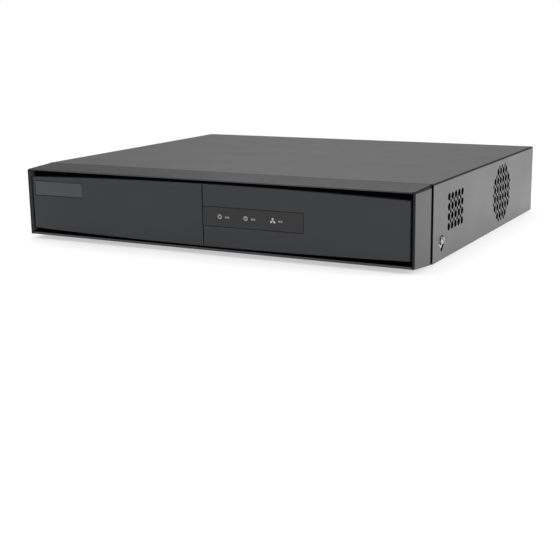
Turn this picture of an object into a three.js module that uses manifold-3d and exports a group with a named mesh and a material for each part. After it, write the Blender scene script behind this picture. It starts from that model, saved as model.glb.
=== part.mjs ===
// A compact sixteen-channel video recorder in a low sheet-metal case with a moulded front.
// Millimetres. X runs across the front, Y from the front towards the rear, and Z up. The origin lies on
// the surface that the feet stand on, in the middle of the recorder's whole width and depth.
import * as THREE from 'three';
import { mergeVertices } from 'three/addons/utils/BufferGeometryUtils.js';
import Module from 'manifold-3d';

const wasm = await Module();
wasm.setup();

// Driving dimensions of the case
const caseWidth = 260;
const caseDepth = 222;
const bodyHeight = 43.8;
const footHeight = 1.2;
const bezelDepth = 22;

// Sheet and clearances
const coverSheet = 1;
const traySheet = 1;
const slip = 0.3;
const seat = 0.05;
const seam = 0.4;
const overrun = 1;
const bond = 0.2;

// Facets of round forms
const fineSides = 28;
const roundSides = 16;
const jackSides = 12;
const smallSides = 8;
const tinySides = 6;
const fewSides = 4;

// Levels, and the faces that everything inside is set against
const halfWidth = caseWidth / 2;
const caseBottom = footHeight;
const caseTop = caseBottom + bodyHeight;
const coverUnderside = caseTop - coverSheet;
const trayFloor = caseBottom + traySheet;
const middleHeight = (trayFloor + coverUnderside) / 2;
const traySide = halfWidth - coverSheet - slip;
const trayInside = traySide - traySheet;
const frontWall = bezelDepth + seat;
const frontInside = frontWall + traySheet;
const rearFace = caseDepth - coverSheet - slip;
const rearInside = rearFace - traySheet;
const coverFront = bezelDepth + seam;

// Moulded front: it narrows a little from its rear edge to its front rim
const bezelTopDrop = 1.15;
const bezelBottomRise = 1.57;
const bezelSideTaper = 1.4;
const bezelRim = 0.8;
const bezelWall = 2;
const bezelRecess = 5;
const bezelBacking = 2;
const edgeBevel = 0.9;
const clipWidth = 10;
const clipThickness = 1.4;
const clipReach = 3;
const clipRoot = 4;
const clipPlaceShares = [-0.32, 0.32];

// Two front plates with bowed upper and lower edges, behind the rim
const plateSetback = 0.8;
const plateSideGap = 2.1;
const plateTopGap = 1.8;
const plateTopBow = 2.25;
const plateBottomGap = 1.3;
const plateBottomBow = 1.85;
const splitWidth = 0.6;
const splitOffset = 1.55;
const bowSteps = 8;

// Blank badge plate and the indicator window
const badgeWidth = 36.3;
const badgeHeight = 8.6;
const badgeThickness = 0.8;
const badgeInset = 1.9;
const badgeDrop = 2.7;
const windowWidth = 64.5;
const windowHeight = 11.1;
const windowThickness = 1;
const windowDrop = 0.4;
const grooveGap = 0.25;

// Indicator board with its three lamps
const indicatorCount = 3;
const lampDiameter = 2.6;
const lampFirst = 11.2;
const lampPitch = 17.1;
const lampCover = 0.4;
const indicatorBoardHeight = 12;
const indicatorBoardMargin = 7;
const thinBoard = 1.2;

// Top cover: bends, rear return with two ears, and side vents
const coverBend = 1.2;
const bendSteps = 3;
const returnTop = 4.1;
const returnSide = 4.6;
const earRadius = 4.8;
const earInset = 3.9;
const earDrop = 0.6;
const earFlare = 1.6;
const ventHole = 4.3;
const ventWeb = 1.3;
const ventPin = 1.7;
const gridColumns = 5;
const gridRows = 4;
const gridDepthShare = 0.269;
const gridRise = 3.2;
const outletColumns = 6;
const outletDepthShare = 0.671;
const rearGridDepthShare = 0.671;
const dimpleDepth = 0.5;
const dimpleRadius = 3.1;
const dimpleTail = 6;
const ventPitch = ventHole + ventWeb;

// Tray: low side flanges, posts for the board and pads for the drive
const flangeHeight = 15;
const ventRelief = 2;
const postRadius = 3;
const standoff = 4.2;
const padRadius = 4;
const padHeight = 3;
const leadHole = 5;

// Feet
const footDiameter = 14;
const footSideShare = 0.41;
const footFrontShare = 0.16;
const footRearShare = 0.88;

// Fasteners
const coverScrewHead = 6.2;
const coverScrewThread = 3;
const sideScrewHead = 4.6;
const sideScrewRise = 11;
const sideScrewSetback = 15.3;
const smallScrewHead = 3.9;
const panelScrewHead = 6;
const panelScrewThread = 2.8;
const smallScrewThread = 2;
const groundScrewHead = 7;
const groundScrewThread = 4;
const groundScrewDrop = 2.8;
const headHeight = 1.6;
const shankReach = 3.5;
const slotDepth = 0.9;
const slotWidth = 0.8;

// Circuit board and the larger parts on it
const boardThickness = 1.6;
const boardSideGap = 3;
const boardRearGap = 1;
const boardDriveGap = 4;
const boardTop = trayFloor + standoff + boardThickness;
const processorWidth = 24;
const processorHeight = 2;
const processorPlaceShares = [0.36, 0.58];
const heatsinkWidth = 40;
const heatsinkDepthShare = 0.6;
const heatsinkBase = 2.5;
const heatsinkHeight = 13;
const heatsinkFins = 9;
const finThickness = 1.2;
const batteryDiameter = 20;
const batteryHeight = 3.2;
const batteryPlaceShares = [0.82, 0.7];
const memoryWidth = 13;
const memoryDepth = 9;
const memoryHeight = 1.2;
const memoryPlaceShares = [[0.50, 0.32], [0.50, 0.54], [0.57, 0.32], [0.57, 0.54]];
const capacitorDiameter = 8;
const capacitorHeight = 11;
const capacitorPlaceShares = [[0.05, 0.64], [0.10, 0.64], [0.05, 0.46], [0.10, 0.46]];
const coilWidth = 10;
const coilHeight = 5;
const coilPlaceShares = [[0.17, 0.54], [0.17, 0.26], [0.62, 0.85]];
const headerWidth = 17;
const headerDepth = 6;
const headerHeight = 7;
const headerPlaceShare = 0.69;
const headerInset = 4;

// Rear connectors, placed across the width from the end that carries input 1
const rearPlaceShares = {
  firstInput: 0.0581,
  lastInput: 0.5181,
  inputScrewA: 0.2381,
  inputScrewB: 0.4985,
  digitalVideo: 0.6008,
  analogVideo: 0.7112,
  audio: 0.806,
  network: 0.8862,
  power: 0.9492,
  ground: 0.9473,
};

// Coax inputs, in two rows of eight
const inputColumns = 8;
const blockColumns = 4;
const jackFlange = 13;
const jackFlangeThickness = 1.8;
const jackFlangeBevel = 0.6;
const jackBarrel = 9.6;
const jackBore = 8.2;
const jackLength = 13;
const jackRowGap = 2.2;
const jackDrop = 1.1;
const lugDiameter = 2;
const lugHeight = 0.9;
const lugSetback = 4;
const insulatorFoot = 7.4;
const insulatorFootLength = 3;
const insulatorDiameter = 4.9;
const insulatorLength = 9.5;
const contactHole = 1.8;
const contactDepth = 4;
const inputBlockDepth = 14;
const inputBlockGap = 1;
const inputBlockMargin = 2;
const jackRowPitch = jackFlange + jackRowGap;

// Digital video socket
const digitalWidth = 15;
const digitalHeight = 5.6;
const digitalDepth = 11;
const digitalWall = 0.5;
const digitalCorner = 1.6;
const digitalHollow = 8;
const digitalTongueWidth = 11;
const digitalTongue = 1.2;
const digitalRise = 0.9;

// Analog video socket with its two jackscrews
const analogFlangeWidth = 30.8;
const analogFlangeHeight = 12;
const analogBodyDepth = 9;
const analogLipWidth = 18;
const analogLipHeight = 9.8;
const analogLip = 0.8;
const analogShellWidth = 16.6;
const analogShellHeight = 8.2;
const analogReach = 5.6;
const analogWall = 0.5;
const analogCoreDrop = 0.4;
const analogSlope = 1.3;
const analogRise = 0.1;
const pinHole = 0.9;
const pinHoleDepth = 3;
const pinPitch = 2.3;
const pinRowPitch = 2;
const pinRows = 3;
const pinColumns = 5;
const jackscrewSpacing = 25;
const jackscrewWidth = 4.8;
const jackscrewReach = 5.4;
const jackscrewBore = 2.6;
const jackscrewThread = 2.8;

// Two round audio sockets on one block
const audioFlange = 10.4;
const audioFlangeThickness = 1;
const audioBarrel = 8.3;
const audioReach = 8;
const audioHole = 3.4;
const audioSpigot = 3;
const audioSpigotWall = 1.5;
const audioRise = 6.5;
const audioRowPitch = 13.4;
const audioBlockWidth = 10;
const audioBlockDepth = 12;
const audioScrewShare = 0.2;

// Network socket above two serial sockets, in one shielded stack
const stackWidth = 18.2;
const stackHeadroom = 5.55;
const stackWebShares = [0.144, 0.34, 0.34];
const stackDepth = 21;
const stackRelief = 1.2;
const networkWidth = 13.2;
const networkHeight = 7.6;
const networkDepth = 14;
const keyWidth = 7.8;
const keyHeight = 1.5;
const latchWidth = 5.3;
const latchHeight = 1.4;
const serialWidth = 13;
const serialHeight = 5.1;
const serialDepth = 11;
const serialTongueWidth = 11;
const serialTongue = 1.8;
const serialTongueReach = 9;
const serialTongueLift = 0.8;

// Power socket
const powerWidth = 8.9;
const powerHeight = 10.9;
const powerDepth = 14;
const powerHole = 5.8;
const powerHoleDepth = 9;
const powerPin = 2;
const powerPinReach = 8;

// Side fan
const fanHeadroom = 0.9;
const fanThickness = 10;
const fanWall = 1.2;
const fanStrut = 2;
const fanStrutWidth = 2.4;
const fanMotor = 16;
const fanPost = 4;
const fanHubWall = 1.2;
const fanTipGap = 0.6;
const fanBlades = 7;
const bladeThickness = 1;
const bladeChord = 7;
const bladePitchAngle = 40;
const fanHoleInset = 4;
const fanPeg = 1.4;
const fanPegReach = 4;
const bracketSheet = 1;
const bracketFoot = 9;

// Hard disk drive
const driveLength = 147;
const driveWidth = 101.6;
const driveHeight = 26.1;
const driveSideGap = 4;
const driveFrontGap = 4;
const driveLidThickness = 1.4;
const driveFloor = 8;
const driveWall = 1.6;
const platterEdgeGap = 1.7;
const platterThickness = 1.3;
const platterGap = 3.3;
const platterLift = 4;
const hubRadius = 16;
const hubRise = 1.5;
const spindleRadius = 5;
const pivotGap = 2.7;
const pivotWall = 1.8;
const pivotRadius = 3.2;
const pivotHousing = 8;
const pivotPocket = 25;
const armReach = 51;
const armThickness = 1.3;
const armRootWidth = 9;
const armTipWidth = 3;
const armParkAngle = 100;
const armPocketWidth = 16;
const coilReach = 21;
const coilHalfAngle = 20;
const coilThickness = 4;
const driveBoardLength = 60;
const driveBoardMargin = 5.8;
const driveBoardRecess = 2.4;
const driveSocketWidth = 42;
const driveSocketDepth = 6;
const driveSocketHeight = 5;
const lidBoss = 0.6;
const lidBossMargin = 10.8;
const lidScrew = 2.4;
const lidScrewInset = 6;

// Cable from the drive to the board
const plugWidth = 36;
const plugLength = 8;
const cableDiameter = 4.4;
const cableSteps = 14;
const cableLead = 22;
const headerPlugHeight = 7;
const drivePlugPlaceShare = 0.36;

// Colours and finishes
const finish = (color, roughness, metalness) => new THREE.MeshStandardMaterial({
  color, roughness, metalness, flatShading: true,
});
const materials = {
  paintedSteel: finish(0x3c3d40, 0.55, 0.3),
  blackPlastic: finish(0x2c2d2f, 0.6, 0),
  platePlastic: finish(0x3b3c3e, 0.45, 0),
  badgePlastic: finish(0x34373a, 0.4, 0),
  windowPlastic: finish(0x38393b, 0.3, 0),
  recess: finish(0x111213, 0.7, 0),
  galvanised: finish(0xbcc4c0, 0.4, 0.9),
  nickel: finish(0xc9c8c4, 0.25, 1),
  chassisPlastic: finish(0x1b1c1d, 0.6, 0),
  rubber: finish(0x151515, 0.9, 0),
  boardGreen: finish(0x1d5a38, 0.6, 0),
  aluminium: finish(0xb4b6b8, 0.35, 1),
  chip: finish(0x202123, 0.5, 0),
  blackScrew: finish(0x151618, 0.4, 0.6),
  audioRed: finish(0xa01c36, 0.4, 0),
  audioWhite: finish(0xe8e8e4, 0.4, 0),
  mirrorDisc: finish(0xd6d8da, 0.08, 1),
  cableRed: finish(0xa02020, 0.5, 0),
};

// Geometry helpers
const axisX = new THREE.Vector3(1, 0, 0);
const axisY = new THREE.Vector3(0, 1, 0);
const axisZ = new THREE.Vector3(0, 0, 1);
const drawnAlong = {
  x: new THREE.Matrix4().makeBasis(axisY, axisZ, axisX),
  y: new THREE.Matrix4().makeBasis(axisX, axisZ, axisY.clone().negate()),
  z: new THREE.Matrix4(),
};
const around = (middle, width) => [middle - width / 2, middle + width / 2];
const widened = ([low, high], gap) => [low - gap, high + gap];
const onSide = (side, inner, outer) => (side > 0 ? [inner, outer] : [-outer, -inner]);
const radians = THREE.MathUtils.degToRad;

// A closed geometry becomes a solid once its shared vertices are one
function solid(geometry) {
  geometry.deleteAttribute('normal');
  geometry.deleteAttribute('uv');
  const merged = mergeVertices(geometry);
  const index = merged.index.array;
  const triangles = [];
  for (let i = 0; i < index.length; i += 3) {
    const [a, b, c] = [index[i], index[i + 1], index[i + 2]];
    if (a !== b && b !== c && c !== a) triangles.push(a, b, c);
  }
  return new wasm.Manifold(new wasm.Mesh({
    numProp: 3,
    vertProperties: new Float32Array(merged.attributes.position.array),
    triVerts: new Uint32Array(triangles),
  }));
}

const joined = (first, ...rest) => rest.flat().reduce((sum, piece) => sum.add(piece), first);
const cut = (body, ...tools) => tools.flat().reduce((left, tool) => left.subtract(tool), body);

function block(x, y, z) {
  const geometry = new THREE.BoxGeometry(x[1] - x[0], y[1] - y[0], z[1] - z[0]);
  geometry.translate((x[0] + x[1]) / 2, (y[0] + y[1]) / 2, (z[0] + z[1]) / 2);
  return solid(geometry);
}

// An outline pushed along an axis: drawn in Y and Z for x, in X and Z for y, and in X and Y for z
function prism(axis, outline, [from, to]) {
  const polygon = (corners) => new THREE.Shape(corners.map((corner) => new THREE.Vector2(...corner)));
  const shape = outline instanceof THREE.Shape ? outline : polygon(outline);
  const geometry = new THREE.ExtrudeGeometry(shape, {
    depth: to - from, bevelEnabled: false, curveSegments: bendSteps,
  });
  geometry.translate(0, 0, axis === 'y' ? -to : from);
  geometry.applyMatrix4(drawnAlong[axis]);
  return solid(geometry);
}

// A profile of [radius, place along the axis] pairs, turned about an axis through a place
function turned(axis, profile, place, sides) {
  const points = profile.map(([radius, along]) => new THREE.Vector2(radius, along));
  const geometry = new THREE.LatheGeometry(points, sides);
  if (axis === 'x') geometry.rotateZ(-Math.PI / 2);
  if (axis === 'z') geometry.rotateX(Math.PI / 2);
  geometry.translate(...place);
  return solid(geometry);
}

function rod(axis, radius, [from, to], place, sides = roundSides) {
  return turned(axis, [[0, from], [radius, from], [radius, to], [0, to]], place, sides);
}

// A closed form between two outlines of as many points, drawn in X and Z
function loft(outlines, stations) {
  const count = outlines[0].length;
  const corners = outlines.flatMap((outline, i) => outline.map(([x, z]) => [x, stations[i], z]));
  const faces = [];
  for (let i = 0; i < count; i += 1) {
    const next = (i + 1) % count;
    faces.push(i, next, count + next, i, count + next, count + i);
  }
  for (let i = 1; i < count - 1; i += 1) {
    faces.push(0, i + 1, i, count, count + i, count + i + 1);
  }
  const geometry = new THREE.BufferGeometry();
  geometry.setAttribute('position', new THREE.Float32BufferAttribute(corners.flat(), 3));
  geometry.setIndex(faces.reverse());
  return solid(geometry);
}

// A rectangle with cut corners, counterclockwise
function cutCorners([x0, x1], [z0, z1], bevel) {
  return [
    [x0 + bevel, z0], [x1 - bevel, z0], [x1, z0 + bevel], [x1, z1 - bevel],
    [x1 - bevel, z1], [x0 + bevel, z1], [x0, z1 - bevel], [x0, z0 + bevel],
  ];
}

const recorder = new THREE.Group();

function addPart(name, body, material) {
  const { vertProperties, triVerts } = body.getMesh();
  const geometry = new THREE.BufferGeometry();
  geometry.setAttribute('position', new THREE.BufferAttribute(new Float32Array(vertProperties), 3));
  geometry.setIndex(new THREE.BufferAttribute(new Uint32Array(triVerts), 1));
  geometry.computeVertexNormals();
  const mesh = new THREE.Mesh(geometry, material);
  mesh.name = name;
  recorder.add(mesh);
}

// Where a rear connector stands across the width
const rearPlace = (name) => halfWidth - rearPlaceShares[name] * caseWidth;

// Front bezel, clipped through the tray's front wall
const frontSide = halfWidth - bezelSideTaper;
const frontBottom = caseBottom + bezelBottomRise;
const frontTop = caseTop - bezelTopDrop;
const recessSide = frontSide - bezelRim;
const recessBottom = frontBottom + bezelRim;
const recessTop = frontTop - bezelRim;
const hollowBottom = frontBottom + bezelWall;
const hollowTop = frontTop - bezelWall;
const clipLevels = [[hollowBottom - clipThickness, hollowBottom], [hollowTop, hollowTop + clipThickness]];
const lampHeight = middleHeight - windowDrop;
const plateSide = recessSide - plateSideGap;
const splitRight = -splitOffset + splitWidth / 2;
const splitLeft = splitRight - splitWidth;
const lampPlaces = Array.from({ length: indicatorCount }, (_, i) => splitRight + lampFirst + i * lampPitch);

function clips(width, levels, depths) {
  return clipPlaceShares.flatMap((share) => levels.map((z) => (
    block(around(share * caseWidth, width), depths, z)
  )));
}

function lampHoles(depths) {
  return lampPlaces.map((x) => rod('y', lampDiameter / 2 + slip, depths, [x, 0, lampHeight], smallSides));
}

function makeBezel() {
  const rearOutline = cutCorners([-halfWidth, halfWidth], [caseBottom, caseTop], edgeBevel);
  const frontOutline = cutCorners([-frontSide, frontSide], [frontBottom, frontTop], edgeBevel);
  const shell = loft([frontOutline, rearOutline], [0, bezelDepth]);
  const recess = block([-recessSide, recessSide], [-overrun, bezelRecess], [recessBottom, recessTop]);
  const hollowSide = frontSide - bezelWall;
  const hollowFront = bezelRecess + bezelBacking;
  const hollowDepths = [hollowFront, bezelDepth + overrun];
  const hollow = block([-hollowSide, hollowSide], hollowDepths, [hollowBottom, hollowTop]);
  const holes = lampHoles([bezelRecess - overrun, hollowFront + overrun]);
  const tabs = clips(clipWidth, clipLevels, [bezelDepth - clipRoot, frontInside + clipReach]);
  const roots = clips(clipWidth, [
    [hollowBottom - clipThickness - bond, hollowBottom], [hollowTop, hollowTop + clipThickness + bond],
  ], [bezelDepth - clipRoot, bezelDepth - bond]);
  addPart('front_bezel', joined(cut(shell, recess, hollow, holes), tabs, roots), materials.blackPlastic);
}

// Height of a bowed edge at a place across the width
function bowed(middle, bow, x) {
  const radius = (plateSide * plateSide + bow * bow) / (2 * bow);
  return middle - radius + Math.sqrt(radius * radius - x * x);
}

const plateTop = (x) => bowed(recessTop - plateTopGap, plateTopBow, x);
const plateBottom = (x) => -bowed(-recessBottom - plateBottomGap, plateBottomBow, x);
const plateDepths = [plateSetback, bezelRecess - seat];

function bowedPlate(x0, x1) {
  const places = Array.from({ length: bowSteps + 1 }, (_, i) => x0 + (x1 - x0) * (i / bowSteps));
  const lower = places.map((x) => [x, plateBottom(x)]);
  const upper = places.toReversed().map((x) => [x, plateTop(x)]);
  return prism('y', [...lower, ...upper], plateDepths);
}

const badgeX = [-plateSide + badgeInset, -plateSide + badgeInset + badgeWidth];
const badgeTop = plateTop(plateSide) - badgeDrop;
const badgeZ = [badgeTop - badgeHeight, badgeTop];
const windowX = [splitRight, splitRight + windowWidth];
const windowZ = around(lampHeight, windowHeight);

function makePlates() {
  const badgeFloor = plateSetback + badgeThickness + seat;
  const badgePocket = block(widened(badgeX, grooveGap), [-overrun, badgeFloor], widened(badgeZ, grooveGap));
  addPart('front_panel_left', cut(bowedPlate(-plateSide, splitLeft), badgePocket), materials.platePlastic);
  const windowFloor = plateSetback + windowThickness + seat;
  const windowPocket = block(
    [splitRight - overrun, windowX[1] + grooveGap], [-overrun, windowFloor], widened(windowZ, grooveGap),
  );
  const holes = lampHoles([windowFloor - overrun, bezelRecess + overrun]);
  const rightPlate = cut(bowedPlate(splitRight, plateSide), windowPocket, holes);
  addPart('front_panel_right', rightPlate, materials.platePlastic);
  addPart('badge_plate', block(badgeX, [plateSetback, badgeFloor - seat], badgeZ), materials.badgePlastic);
  const pane = block(windowX, [plateSetback, windowFloor - seat], windowZ);
  addPart('indicator_window', pane, materials.windowPlastic);
}

function makeIndicatorBoard() {
  const face = bezelRecess + bezelBacking + seat;
  const lampsSpan = widened([Math.min(...lampPlaces), Math.max(...lampPlaces)], indicatorBoardMargin);
  const board = block(lampsSpan, [face, face + thinBoard], around(lampHeight, indicatorBoardHeight));
  const lampFront = plateSetback + windowThickness + lampCover;
  const lamps = lampPlaces.map((x) => (
    rod('y', lampDiameter / 2, [lampFront, face + bond], [x, 0, lampHeight], smallSides)
  ));
  addPart('indicator_board', joined(board, lamps), materials.boardGreen);
}

// Top cover: a folded U with a return round the rear edge
const earHeight = caseBottom + bodyHeight / 2 - earDrop;
const earPlace = halfWidth - earInset;
const sideScrewY = bezelDepth + sideScrewSetback;
const sideScrewZ = caseBottom + sideScrewRise;
const bothSides = [-1, 1];

function foldedOutline(half, top, bend) {
  const shape = new THREE.Shape();
  shape.moveTo(-half, caseBottom);
  shape.lineTo(half, caseBottom);
  shape.lineTo(half, top - bend);
  shape.absarc(half - bend, top - bend, bend, 0, Math.PI / 2, false);
  shape.lineTo(-half + bend, top);
  shape.absarc(-half + bend, top - bend, bend, Math.PI / 2, Math.PI, false);
  return shape;
}

// Places of a grid's holes, with small holes between each four large ones
function ventPlaces(columns, rows, keep) {
  const places = [];
  for (let i = 0; i < columns; i += 1) {
    for (let j = 0; j < rows; j += 1) {
      const [y, z] = [(i - (columns - 1) / 2) * ventPitch, (j - (rows - 1) / 2) * ventPitch];
      if (keep(i, j)) places.push([y, z, ventHole / 2, tinySides]);
      if (i < columns - 1 && j < rows - 1) {
        places.push([y + ventPitch / 2, z + ventPitch / 2, ventPin / 2, fewSides]);
      }
    }
  }
  return places;
}

function ventHoles(side, depthShare, height, places) {
  const span = onSide(side, halfWidth - coverSheet - overrun, halfWidth + overrun);
  return places.map(([y, z, radius, sides]) => (
    rod('x', radius, span, [0, depthShare * caseDepth + y, height + z], sides)
  ));
}

const everyHole = () => true;
const notCorner = (i, j) => !((i === 0 || i === outletColumns - 1) && (j === 0 || j === outletColumns - 1));
const gridHeight = middleHeight + gridRise;
const gridPlaces = ventPlaces(gridColumns, gridRows, everyHole);
const outletPlaces = ventPlaces(outletColumns, outletColumns, notCorner);

function earOutline(side) {
  const edge = returnSide - overrun;
  const points = [[halfWidth - edge, earHeight - earRadius - earFlare]];
  const steps = roundSides / 2;
  for (let i = 0; i <= steps; i += 1) {
    const angle = -Math.PI / 2 - (Math.PI * i) / steps;
    points.push([earPlace + earRadius * Math.cos(angle), earHeight + earRadius * Math.sin(angle)]);
  }
  points.push([halfWidth - edge, earHeight + earRadius + earFlare]);
  return side > 0 ? points.toReversed() : points.map(([x, z]) => [-x, z]);
}

function dimple(side) {
  const points = [];
  const steps = smallSides;
  for (let i = 0; i <= steps; i += 1) {
    const angle = (Math.PI * i) / steps;
    points.push([sideScrewY + dimpleRadius * Math.cos(angle), sideScrewZ + dimpleRadius * Math.sin(angle)]);
  }
  points.push([sideScrewY, sideScrewZ - dimpleTail]);
  return prism('x', points, onSide(side, halfWidth - dimpleDepth, halfWidth + overrun));
}

function screwHoles(side) {
  const radius = coverScrewThread / 2 + slip;
  const along = [rearInside - overrun, caseDepth + overrun];
  const across = onSide(side, trayInside - overrun, halfWidth + overrun);
  return [
    rod('y', radius, along, [side * earPlace, 0, earHeight], smallSides),
    rod('x', radius, across, [0, sideScrewY, sideScrewZ], smallSides),
  ];
}

function makeCover() {
  const outer = prism('y', foldedOutline(halfWidth, caseTop, coverBend), [coverFront, caseDepth]);
  const insideHalf = halfWidth - coverSheet;
  const inside = block(
    [-insideHalf, insideHalf], [coverFront - overrun, caseDepth - coverSheet],
    [caseBottom - overrun, coverUnderside],
  );
  const opening = block(
    around(0, caseWidth - 2 * returnSide), [caseDepth - coverSheet - overrun, caseDepth + overrun],
    [caseBottom - overrun, caseTop - returnTop],
  );
  const ears = bothSides.map((side) => prism('y', earOutline(side), [caseDepth - coverSheet, caseDepth]));
  const shell = joined(cut(outer, inside, opening), ears);
  const vents = [
    ...ventHoles(1, gridDepthShare, gridHeight, gridPlaces),
    ...ventHoles(1, outletDepthShare, middleHeight, outletPlaces),
    ...ventHoles(-1, gridDepthShare, gridHeight, gridPlaces),
    ...ventHoles(-1, rearGridDepthShare, gridHeight, gridPlaces),
  ];
  const fixings = bothSides.flatMap((side) => [dimple(side), ...screwHoles(side)]);
  addPart('top_cover', cut(shell, vents, fixings), materials.paintedSteel);
}

// Circuit board's edges, and places on it as shares of its width and of its depth before the rear sockets
const driveLeft = -trayInside + driveSideGap;
const driveRight = driveLeft + driveLength;
const driveFront = frontInside + driveFrontGap;
const driveRear = driveFront + driveWidth;
const boardLeft = -trayInside + boardSideGap;
const boardRight = trayInside - boardSideGap;
const boardFront = driveRear + boardDriveGap;
const boardRear = rearInside - boardRearGap;
const boardClear = rearFace - stackDepth;
const onBoard = ([across, along]) => [
  boardLeft + across * (boardRight - boardLeft), boardFront + along * (boardClear - boardFront),
];
const fanSize = coverUnderside - trayFloor - 2 * fanHeadroom;
const fanY = outletDepthShare * caseDepth;
const fanOuter = trayInside - slip;
const fanInner = fanOuter - fanThickness;
const notchLeft = fanInner - bracketSheet - boardSideGap;
const notchRear = fanY + fanSize / 2 + boardSideGap;
const postPlaceShares = [[0.03, 0.1], [0.45, 0.1], [0.9, 0.1], [0.03, 0.92], [0.45, 0.92], [0.97, 0.92]];

// Outlines of the rear openings, drawn in X and Z
const inputPitch = (rearPlace('firstInput') - rearPlace('lastInput')) / (inputColumns - 1);
const inputColumn = (column) => rearPlace('firstInput') - column * inputPitch;
const inputMiddle = middleHeight - jackDrop;
const inputRows = [inputMiddle + jackRowPitch / 2, inputMiddle - jackRowPitch / 2];
const analogHeight = boardTop + analogFlangeHeight / 2 + analogRise;
const jackscrewPlaces = bothSides.map((side) => rearPlace('analogVideo') + side * (jackscrewSpacing / 2));
const audioRows = [boardTop + audioRise + audioRowPitch, boardTop + audioRise];
const audioMiddle = (audioRows[0] + audioRows[1]) / 2;
const audioSpigotRadius = audioHole / 2 + audioSpigotWall;
const besideAudio = rearPlace('audio') - audioBlockWidth / 2 - panelScrewThread / 2;
const besideStack = rearPlace('network') + stackWidth / 2 + panelScrewThread / 2;
const audioScrewPlace = besideAudio - audioScrewShare * (besideAudio - besideStack);
const groundHeight = caseTop - returnTop - groundScrewDrop - groundScrewHead / 2;
const stackTop = coverUnderside - stackHeadroom;

function digitalOutline(grow) {
  const [x0, x1] = around(rearPlace('digitalVideo'), digitalWidth + 2 * grow);
  const low = boardTop + digitalRise - grow;
  const high = boardTop + digitalRise + digitalHeight + grow;
  const corner = digitalCorner;
  return [
    [x0 + corner, low], [x1 - corner, low], [x1, low + corner],
    [x1, high], [x0, high], [x0, low + corner],
  ];
}

function analogOutline(width, height) {
  const [x0, x1] = around(rearPlace('analogVideo'), width);
  const [low, high] = around(analogHeight, height);
  const corner = analogSlope;
  return [
    [x0 + 2 * corner, low], [x1 - 2 * corner, low], [x1 - corner, low + corner], [x1, high - corner],
    [x1 - corner, high], [x0 + corner, high], [x0, high - corner], [x0 + corner, low + corner],
  ];
}

function rearOpenings() {
  const through = [rearInside - overrun, rearFace + overrun];
  const hole = (x, z, radius, sides) => rod('y', radius + slip, through, [x, 0, z], sides);
  const openings = [];
  for (let column = 0; column < inputColumns; column += 1) {
    for (const z of inputRows) openings.push(hole(inputColumn(column), z, insulatorFoot / 2, tinySides));
  }
  openings.push(prism('y', digitalOutline(slip), through));
  openings.push(prism('y', analogOutline(analogLipWidth + 2 * slip, analogLipHeight + 2 * slip), through));
  for (const x of jackscrewPlaces) openings.push(hole(x, analogHeight, jackscrewThread / 2, smallSides));
  for (const z of audioRows) openings.push(hole(rearPlace('audio'), z, audioSpigotRadius, smallSides));
  openings.push(block(
    around(rearPlace('network'), stackWidth + 2 * slip), through,
    [boardTop - slip, stackTop + stackRelief],
  ));
  openings.push(block(
    around(rearPlace('power'), powerWidth + 2 * slip), through,
    [boardTop - slip, boardTop + powerHeight + slip],
  ));
  for (const name of ['inputScrewA', 'inputScrewB']) {
    openings.push(hole(rearPlace(name), inputMiddle, smallScrewThread / 2, smallSides));
  }
  openings.push(hole(audioScrewPlace, audioMiddle, panelScrewThread / 2, smallSides));
  openings.push(hole(rearPlace('ground'), groundHeight, groundScrewThread / 2, smallSides));
  return openings;
}

const padPlaces = [driveLeft + 2 * padRadius, driveRight - 2 * padRadius].flatMap((x) => (
  [driveFront + 2 * padRadius, driveRear - 2 * padRadius].map((y) => [x, y])
));

function makeTray() {
  const width = [-traySide, traySide];
  const wallTop = coverUnderside - slip;
  const floor = block(width, [frontWall, rearFace], [caseBottom, trayFloor]);
  const front = block(width, [frontWall, frontInside], [caseBottom, wallTop]);
  const rear = block(width, [rearInside, rearFace], [caseBottom, wallTop]);
  const flanges = bothSides.map((side) => block(
    [side * trayInside, side * traySide].sort((a, b) => a - b), [frontWall, rearFace],
    [caseBottom, trayFloor + flangeHeight],
  ));
  const posts = postPlaceShares.map((share) => (
    rod('z', postRadius, [trayFloor - bond, trayFloor + standoff - seat], [...onBoard(share), 0], smallSides)
  ));
  const pads = padPlaces.map(([x, y]) => (
    rod('z', padRadius, [trayFloor - bond, trayFloor + padHeight - seat], [x, y, 0], smallSides)
  ));
  const shell = joined(floor, front, rear, flanges, posts, pads);
  const across = [-traySide - overrun, traySide + overrun];
  const relief = (share, columns, top) => block(
    across, around(share * caseDepth, columns * ventPitch + 2 * ventRelief), [trayFloor + bond, top],
  );
  const reliefs = [
    relief(gridDepthShare, gridColumns, trayFloor + flangeHeight + overrun),
    relief(outletDepthShare, outletColumns, trayFloor + flangeHeight + overrun),
  ];
  const throughFront = [frontWall - overrun, frontInside + overrun];
  const slotLevels = clipLevels.map((level) => widened(level, slip));
  const slots = clips(clipWidth + 2 * slip, slotLevels, throughFront);
  const lead = rod('y', leadHole / 2, throughFront, [splitRight, 0, middleHeight], smallSides);
  const fixings = bothSides.flatMap(screwHoles);
  addPart('chassis_tray', cut(shell, reliefs, slots, lead, fixings, rearOpenings()), materials.galvanised);
}

function makeFeet() {
  const places = {
    foot_front_left: [-footSideShare, footFrontShare],
    foot_front_right: [footSideShare, footFrontShare],
    foot_rear_left: [-footSideShare, footRearShare],
    foot_rear_right: [footSideShare, footRearShare],
  };
  for (const [name, [across, along]] of Object.entries(places)) {
    const place = [across * caseWidth, along * caseDepth, 0];
    addPart(name, rod('z', footDiameter / 2, [0, footHeight - seat], place), materials.rubber);
  }
}

const headerX = onBoard([headerPlaceShare, 0])[0];
const headerY = [boardFront + headerInset, boardFront + headerInset + headerDepth];

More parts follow.
